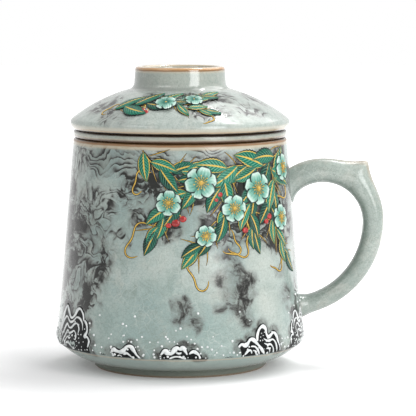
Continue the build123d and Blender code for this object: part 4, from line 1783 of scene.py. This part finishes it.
@dataclass
class Branch:
    """Tea branch in raised enamel on one skin."""

    name: str
    skin: Skin
    body: str
    stems: tuple[Stem, ...]
    tendrils: tuple[Tendril, ...]
    buds: tuple[tuple[float, float, float], ...]  # angle, run and radius
    blossoms: tuple[Blossom, ...]
    limits: Pair  # run that the leaves keep between
    up: int = 1  # 1 where a larger run is further up, as seen from outside, else -1
    seed: int = 3
    stem_width: float = 0.42
    leaf_share: float = 0.50  # width of a leaf in its length
    leaf_rows: int = 22
    leaf_columns: int = 8
    leaf_crown: float = 0.30
    leaf_proud: float = 0.06
    leaf_depth: float = 0.35
    petals: int = 6
    petal_share: float = 0.95  # width of a petal in its length
    petal_lift: float = 0.50
    stamens: int = 14
    stamen_reach: Pair = (0.32, 0.42)  # of the shorter and the longer ones, in the petals' length
    tendril_width: float = 0.28
    outline_width: float = 0.46  # of the ink under a tendril

    @staticmethod
    def leaf_swell(along: float) -> float:
        """Width of a leaf at a share of its length, 1 at its widest."""
        return max(0.02, math.sin(math.pi * along**0.82) ** 0.85)

    @staticmethod
    def petal_swell(along: float) -> float:
        """Width of a petal at a share of its length, 1 at its widest."""
        return max(0.06, math.sin(math.pi * min(1.0, 0.06 + 0.94 * along**1.25)) ** 0.55)

    def blade_mould(self, rows: int, columns: int, swell: Callable[[float], float],
                    serration: float) -> Object:
        """Makes a flat blade, 1 mm long from its root on +X and 1 mm wide.

        Args:
            rows: Steps along it.
            columns: Steps across it.
            swell: Its width at a share of its length.
            serration: How much every other row stands out.

        Returns:
            The blade.
        """
        deselect()
        bpy.ops.mesh.primitive_grid_add(x_subdivisions=rows, y_subdivisions=columns, size=MM)
        mould = bpy.context.object
        bpy.ops.object.mode_set(mode="EDIT")
        for k in range(rows + 1):
            place = k / rows - 0.5
            pick(mould, lambda p: abs(p.x - place) < 1e-3)
            width = swell(k / rows) * (1 + serration * (-1) ** k)
            bpy.ops.transform.resize(value=(1, width, 1), center_override=(0, 0, 0))
        bpy.ops.mesh.select_all(action="SELECT")
        bpy.ops.transform.translate(value=(MM / 2, 0, 0))
        bpy.ops.object.mode_set(mode="OBJECT")
        bpy.ops.object.shade_smooth()
        return mould

    def lay_petals(self) -> list[Object]:
        """The petals of all the blossoms, every other one on top."""
        mould = self.blade_mould(12, 8, self.petal_swell, 0.0)
        made = []
        for blossom in self.blossoms:
            for k in range(self.petals):
                turn = math.radians(blossom.turn + 360 * k / self.petals)
                made.append(self.lay_petal(mould, blossom, turn, self.petal_lift + 0.14 * (k % 2)))
        bpy.data.objects.remove(mould)
        return made

    def lay_petal(self, mould: Object, blossom: Blossom, turn: float, lift: float) -> Object:
        """Lays one petal, cupped across and raised towards its tip."""
        def place(p: Vector) -> Vector:
            long, side = p.x * blossom.size, p.y * blossom.size * self.petal_share
            across = long * math.cos(turn) - side * math.sin(turn)
            along = long * math.sin(turn) + side * math.cos(turn)
            share = min(1.0, abs(p.y) * 2 / self.petal_swell(p.x))
            cup = 0.30 * (1 - share**2) * math.sin(math.pi * min(1.0, 0.15 + p.x))
            return self.skin.laid(blossom.middle, across, along, lift + cup)

        return stamped(mould, place)

    def stamen_tips(self, blossom: Blossom) -> list[Pair]:
        """Tips of a blossom's stamens, longer and shorter in turn, in millimetres from its middle."""
        tips = []
        for k in range(self.stamens):
            turn = math.radians(blossom.turn + 360 * k / self.stamens)
            reach = blossom.size * self.stamen_reach[k % 2]
            tips.append((reach * math.cos(turn), reach * math.sin(turn)))
        return tips

    def stamen_trails(self) -> list[Trail]:
        """Gold stamens round the middle of each blossom."""
        made = []
        for blossom in self.blossoms:
            for across, along in self.stamen_tips(blossom):
                points = [
                    self.skin.beside(*blossom.middle, across * share, along * share)
                    for share in (0.15, 0.5, 0.8, 1.0)
                ]
                made.append(Trail(points, 0.13, 1.0))
        return made

    def lay_anthers(self) -> list[Object]:
        """Gold beads at the tips of the stamens and in the middle of each blossom."""
        mould = bead(10, 6)
        made = []
        lift = self.petal_lift + 0.45
        for blossom in self.blossoms:
            beads = [(0.0, 0.0, 0.13 * blossom.size)]
            beads += [(*tip, 0.27) for tip in self.stamen_tips(blossom)]
            for across, along, size in beads:
                made.append(stamped(mould, lambda p: self.skin.laid(
                    blossom.middle, across + p.x * size, along + p.y * size, lift + p.z * size * 0.6)))
        bpy.data.objects.remove(mould)
        return made

    def shoots(self) -> list[Trail]:
        """Short gold shoots that spring from the stems."""
        chance = random.Random(self.seed + 5)
        made = []
        for stem in self.stems:
            line = smooth_line(stem.points, 12)
            for k in range(stem.leaves * 2):
                spot = min(len(line) - 2, int((k + 0.8) / (stem.leaves * 2) * (len(line) - 1)))
                at, after = line[spot], line[spot + 1]
                side = 1 if k % 2 else -1
                way = self.skin.way(at, after, at[1]) + side * math.radians(chance.uniform(28, 70))
                length = stem.leaf_length * chance.uniform(0.45, 0.80)
                bend = side * chance.uniform(-0.9, 0.2)
                points, across, along = [], 0.0, 0.0
                for step in range(9):
                    points.append(self.skin.beside(*at, across, along))
                    heading = way + bend * step / 8
                    across += math.cos(heading) * length / 8
                    along += math.sin(heading) * length / 8
                if all(self.limits[0] < run < self.limits[1] for _, run in points):
                    made.append(Trail(points, 0.21, 0.15, 0.8))
        return made

    def lay_leaf(self, mould: Object, at: Pair, heading: float, length: float, bend: float, layer: int,
                 tint: float) -> Object:
        """Lays one leaf.

        Args:
            mould: The flat leaf.
            at: Angle and run of its stalk.
            heading: Direction of its midrib, in radians from the way round.
            length: Its length in millimetres.
            bend: How far its tip turns aside, in radians.
            layer: How many leaves lie under it.
            tint: Its shade.

        Returns:
            The leaf.
        """
        width = length * self.leaf_share

        def place(p: Vector) -> Vector:
            turn = heading + bend * p.x
            side = p.y * width
            across = length * p.x * math.cos(heading + bend * p.x / 2) - side * math.sin(turn)
            along = length * p.x * math.sin(heading + bend * p.x / 2) + side * math.cos(turn)
            share = min(1.0, abs(p.y) * 2 / self.leaf_swell(min(0.999, max(0.001, p.x))))
            crown = self.leaf_crown * (1 - share**2) * (1 - 0.35 * math.exp(-(share * 7) ** 2))
            lift = self.leaf_proud * (1 - 2.2 * share**6) + crown + 0.10 * layer
            return self.skin.laid(at, across, along, lift)

        return stamped(mould, place, tint)

    def leaves(self) -> list[Object]:
        """All the leaves, laid along the stems."""
        chance = random.Random(self.seed)
        mould = self.blade_mould(self.leaf_rows, self.leaf_columns, self.leaf_swell, 0.05)
        made = []
        for stem in self.stems:
            line = smooth_line(stem.points, 12)
            for k in range(stem.leaves):
                share = (k + 0.4) / stem.leaves
                spot = min(len(line) - 2, int(share * (len(line) - 1)))
                at, after = line[spot], line[spot + 1]
                way = self.skin.way(at, after, at[1])
                side = 1 if k % 2 else -1
                lean = math.radians(stem.lean + chance.uniform(-12, 12)) * (1 - 0.55 * share)
                length = stem.leaf_length * (1.08 - 0.42 * share) * chance.uniform(0.85, 1.12)
                heading = way + side * lean
                low, high = self.limits
                tip = at[1] + math.sin(heading) * length
                if not low < tip < high:
                    heading = way - side * lean
                    tip = at[1] + math.sin(heading) * length
                    length *= 1.0 if low < tip < high else 0.55
                bend, tint = -side * chance.uniform(0.15, 0.55), chance.random()
                made.append(self.lay_leaf(mould, at, heading, length, bend, k % 3, tint))
            way = self.skin.way(line[-3], line[-1], line[-1][1])
            made.append(self.lay_leaf(mould, line[-1], way, stem.leaf_length * 0.75, 0.1, 1, chance.random()))
        bpy.data.objects.remove(mould)
        return made

    def curl(self, tendril: Tendril) -> list[Pair]:
        """Line of one tendril as angles and runs."""
        steps = 60
        points, across, along = [], 0.0, 0.0
        for k in range(steps + 1):
            points.append(self.skin.beside(tendril.angle, tendril.run, across, along))
            share = k / steps
            sway = 34 * math.sin(share * 12.0)
            way = math.radians(tendril.heading + tendril.curl * share**1.8 + sway)
            across += math.sin(way) * tendril.length / steps
            along += math.cos(way) * tendril.length / steps * self.up
        return points

    def stalks(self) -> list[Trail]:
        """Line from each bud to the nearest point of a stem."""
        made = []
        for angle, run, _ in self.buds:
            radius = self.skin.radius(run)
            lines = [point for stem in self.stems for point in smooth_line(stem.points, 12)]
            near = min(lines, key=lambda p: math.hypot(math.radians(p[0] - angle) * radius, p[1] - run))
            middle = ((angle + near[0]) / 2 + 0.8, (run + near[1]) / 2)
            made.append(Trail(smooth_line([(angle, run), middle, near], 6), 0.22, 0.8))
        return made

    def lay_buds(self) -> list[Object]:
        """Round buds, each with its own mesh."""
        mould = bead(20, 12)
        made = []
        for angle, run, size in self.buds:
            made.append(stamped(mould, lambda p: self.skin.laid(
                (angle, run), p.x * size, p.y * size * 0.85, p.z * 0.55 + 0.1)))
        bpy.data.objects.remove(mould)
        return made

    def build(self, finishes: Finishes) -> None:
        """Builds and dresses the branch's pieces."""
        ink, gold = [], []
        for stem in self.stems:
            line = smooth_line(stem.points, 12)
            ink.append(Trail(line, self.stem_width * 1.6, 0.5))
            gold.append(Trail(line, self.stem_width * 0.7, 0.5))
        for tendril in self.tendrils:
            line = self.curl(tendril)
            ink.append(Trail(line, self.outline_width, 0.4))
            gold.append(Trail(line, self.tendril_width, 0.4))
        shoots = self.shoots()
        gold += shoots + self.stalks()
        ink += [Trail(shoot.points, 0.38, 0.3, 0.8) for shoot in shoots]
        leaves = thickened(joined(f"{self.name}_leaves", self.leaves()), self.leaf_depth)
        dress(leaves, finishes.leaf, self.body, "green_enamel")
        petals = thickened(joined(f"{self.name}_petals", self.lay_petals()), self.leaf_depth)
        dress(petals, finishes.petal, self.body, "white_enamel")
        lift = self.petal_lift + 0.35
        stamens = trailed(f"{self.name}_stamens", self.skin, self.stamen_trails(), 0.8, 1, lift)
        stamens = joined(f"{self.name}_stamens", [stamens, *self.lay_anthers()])
        dress(stamens, finishes.gold, self.body, "gold_enamel")
        dress(trailed(f"{self.name}_lines", self.skin, gold, 0.8), finishes.gold, self.body, "gold_enamel")
        dress(trailed(f"{self.name}_ink", self.skin, ink, 0.25), finishes.ink, self.body, "ink_enamel")
        dress(joined(f"{self.name}_buds", self.lay_buds()), finishes.red, self.body, "red_enamel")


def mug_branch(skin: Skin) -> Branch:
    """The branch that hangs from the mug's lip, with a smaller one behind."""
    return Branch(
        "mug_branch", skin, "mug",
        stems=(
            Stem(((68, 88), (57, 84), (45, 81), (31, 82), (17, 79), (5, 73), (-5, 66), (-11, 58)), 17, 14),
            Stem(((53, 83), (56, 75), (52, 66), (56, 56), (63, 47)), 10, 13),
            Stem(((26, 82), (21, 74), (24, 66), (17, 58), (9, 51)), 9, 13),
            Stem(((-19, 88), (-13, 83), (-4, 80), (4, 81)), 5, 12),
            Stem(((41, 82), (42, 74), (37, 66), (39, 57)), 7, 12.5),
            Stem(((214, 88), (204, 81), (190, 78), (176, 72), (168, 62)), 11, 13),
            Stem(((196, 80), (198, 70), (192, 60), (196, 52)), 7, 12),
        ),
        tendrils=(
            Tendril(-11, 60, -100, 26, -170), Tendril(10, 50, 215, 24, -190), Tendril(36, 58, 165, 20, 200),
            Tendril(62, 48, 190, 16, 160), Tendril(26, 58, 130, 18, 230), Tendril(70, 80, 165, 22, 180),
            Tendril(-14, 80, -100, 18, -200), Tendril(48, 62, -150, 18, 200), Tendril(168, 62, 160, 22, 200),
            Tendril(208, 76, -150, 20, -210),
        ),
        buds=((-1.5, 61, 1.6), (2, 62.5, 1.4), (-5, 60.2, 1.2), (50.5, 62, 1.4), (48, 60.2, 1.2),
              (20.5, 71.5, 1.3), (18.5, 69.5, 1.1), (34, 57.5, 1.3), (190, 75, 1.4), (194, 73, 1.2)),
        blossoms=(
            Blossom(11, 76, 6.6, 12), Blossom(43, 73, 6.8, 40), Blossom(-5, 68.5, 5.2, 25),
            Blossom(28, 66, 5.6, 5), Blossom(60, 61, 5.4, 30), Blossom(66, 80, 5.6, 15),
            Blossom(13, 56, 4.4, 50), Blossom(187, 70, 6.2, 20), Blossom(199, 79, 5.2, 44),
        ),
        limits=(40, 88.6),
    )


def lid_branch(skin: Skin) -> Branch:
    """The sprig that lies across the front of the lid, with another behind."""
    return Branch(
        "lid_branch", skin, "lid",
        stems=(
            Stem(((-44, 36), (-30, 33), (-14, 31), (4, 29), (20, 26)), 9, 11),
            Stem(((-8, 30), (4, 34), (16, 36)), 4, 8),
            Stem(((140, 26), (158, 30), (176, 32), (194, 35)), 8, 10),
        ),
        tendrils=(
            Tendril(-40, 34, -80, 14, -200), Tendril(-22, 32, 210, 14, 210), Tendril(14, 35, 120, 12, 200),
            Tendril(186, 34, 120, 13, 200),
        ),
        buds=((-23, 35.5, 1.1), (-20, 36.4, 0.9), (170, 31, 1.1)),
        blossoms=(Blossom(-9, 31.5, 4.4, 10), Blossom(11, 29.5, 3.6, 30), Blossom(164, 30, 4.4, 10)),
        limits=(22.5, 40.0),
        up=-1,
        seed=11,
    )


# ---- studio ----
@dataclass(frozen=True)
class Softbox:
    """Area light that faces a point on the mug's axis."""

    name: str
    place: tuple[float, float, float]
    wide: float
    tall: float
    power: float
    aim: float = 0.06

    def build(self) -> None:
        """Adds the light."""
        bpy.ops.object.light_add(type="AREA", location=self.place)
        lamp = bpy.context.object
        lamp.name = self.name
        lamp.data.shape = "RECTANGLE"
        lamp.data.size, lamp.data.size_y = self.wide, self.tall
        lamp.data.energy = self.power
        way = Vector((0, 0, self.aim)) - Vector(self.place)
        lamp.rotation_euler = way.to_track_quat("-Z", "Y").to_euler()


@dataclass(frozen=True)
class Studio:
    """Pale floor, white surround, soft lights and the camera."""

    camera_place: tuple[float, float, float] = (0.0110, -0.9267, 0.1550)
    camera_tilt: float = 5.714  # degrees below level
    lens: float = 203.84
    surround: float = 0.50  # light of the surround on the object
    floor_colour: Colour = (0.88, 0.88, 0.885)
    floor_glow: float = 0.10  # what lifts the floor to white as seen
    floor_fade: Pair = (30, 300)  # distances in millimetres over which the glow rises to 1
    floor_roughness: float = 0.9
    softboxes: tuple[Softbox, ...] = (
        Softbox("left_softbox", (-0.62, -0.62, 0.72), 0.6, 0.35, 1.6),
        Softbox("window_softbox", (0.48, -0.63, 0.345), 0.35, 0.57, 3.5),
        Softbox("top_softbox", (0.48, 0.24, 0.78), 1.0, 0.75, 5.0),
        Softbox("strip_softbox", (0.34, 0.25, 0.92), 0.60, 0.06, 2.2),
    )

    def build(self) -> None:
        """Builds the studio."""
        deselect()
        for softbox in self.softboxes:
            softbox.build()
        bpy.ops.mesh.primitive_plane_add(size=6)
        floor = bpy.context.object
        floor.name = "studio_floor"
        floor.data.materials.append(self.floor_material())
        self.build_world()
        tilt = math.radians(90 - self.camera_tilt)
        bpy.ops.object.camera_add(location=self.camera_place, rotation=(tilt, 0, 0))
        camera = bpy.context.object
        camera.data.lens = self.lens
        bpy.context.scene.camera = camera
        bpy.context.scene.view_settings.view_transform = "Standard"

    def floor_material(self) -> bpy.types.Material:
        """Pale matt floor that reads as white but keeps shadows."""
        recipe = Recipe("studio_floor", self.floor_roughness)
        recipe.setting("Base Color", self.floor_colour)
        recipe.setting("Specular IOR Level", 0.0)
        recipe.setting("Emission Color", (1, 1, 1))
        low, high = self.floor_fade
        away = recipe.vector("LENGTH", recipe.place)
        fade = {"Value": away, "From Min": low, "From Max": high, "To Min": self.floor_glow}
        glow = recipe.node("ShaderNodeMapRange", fade, interpolation_type="SMOOTHSTEP")
        recipe.setting("Emission Strength", recipe.times(recipe.seen(), glow))
        return recipe.material

    def build_world(self) -> None:
        """White surround that is seen and mirrored at 1 and lights a little less."""
        world = bpy.data.worlds.new("studio_surround")
        bpy.context.scene.world = world
        sky = Nodes(world)
        background = sky.nodes["Background"]
        light = sky.node("ShaderNodeMapRange", {"Value": sky.seen(), "To Min": self.surround})
        sky.feed(background.inputs["Color"], (1, 1, 1))
        sky.feed(background.inputs["Strength"], light)


def main() -> None:
    """Builds the mug, its infuser, its lid, their enamel and the studio."""
    logging.basicConfig(level=logging.INFO, format="%(name)s: %(message)s")
    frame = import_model()
    finishes = Finishes()
    mug, lid = Mug(), Lid()
    waves = Waves(mug.skin())
    mug.build(finishes, waves.halos())
    Infuser().build(frame)
    lid.build()
    waves.build(finishes)
    mug_branch(mug.skin()).build(finishes)
    lid_branch(lid.skin()).build(finishes)
    Studio().build()


if __name__ == "__main__":
    main()
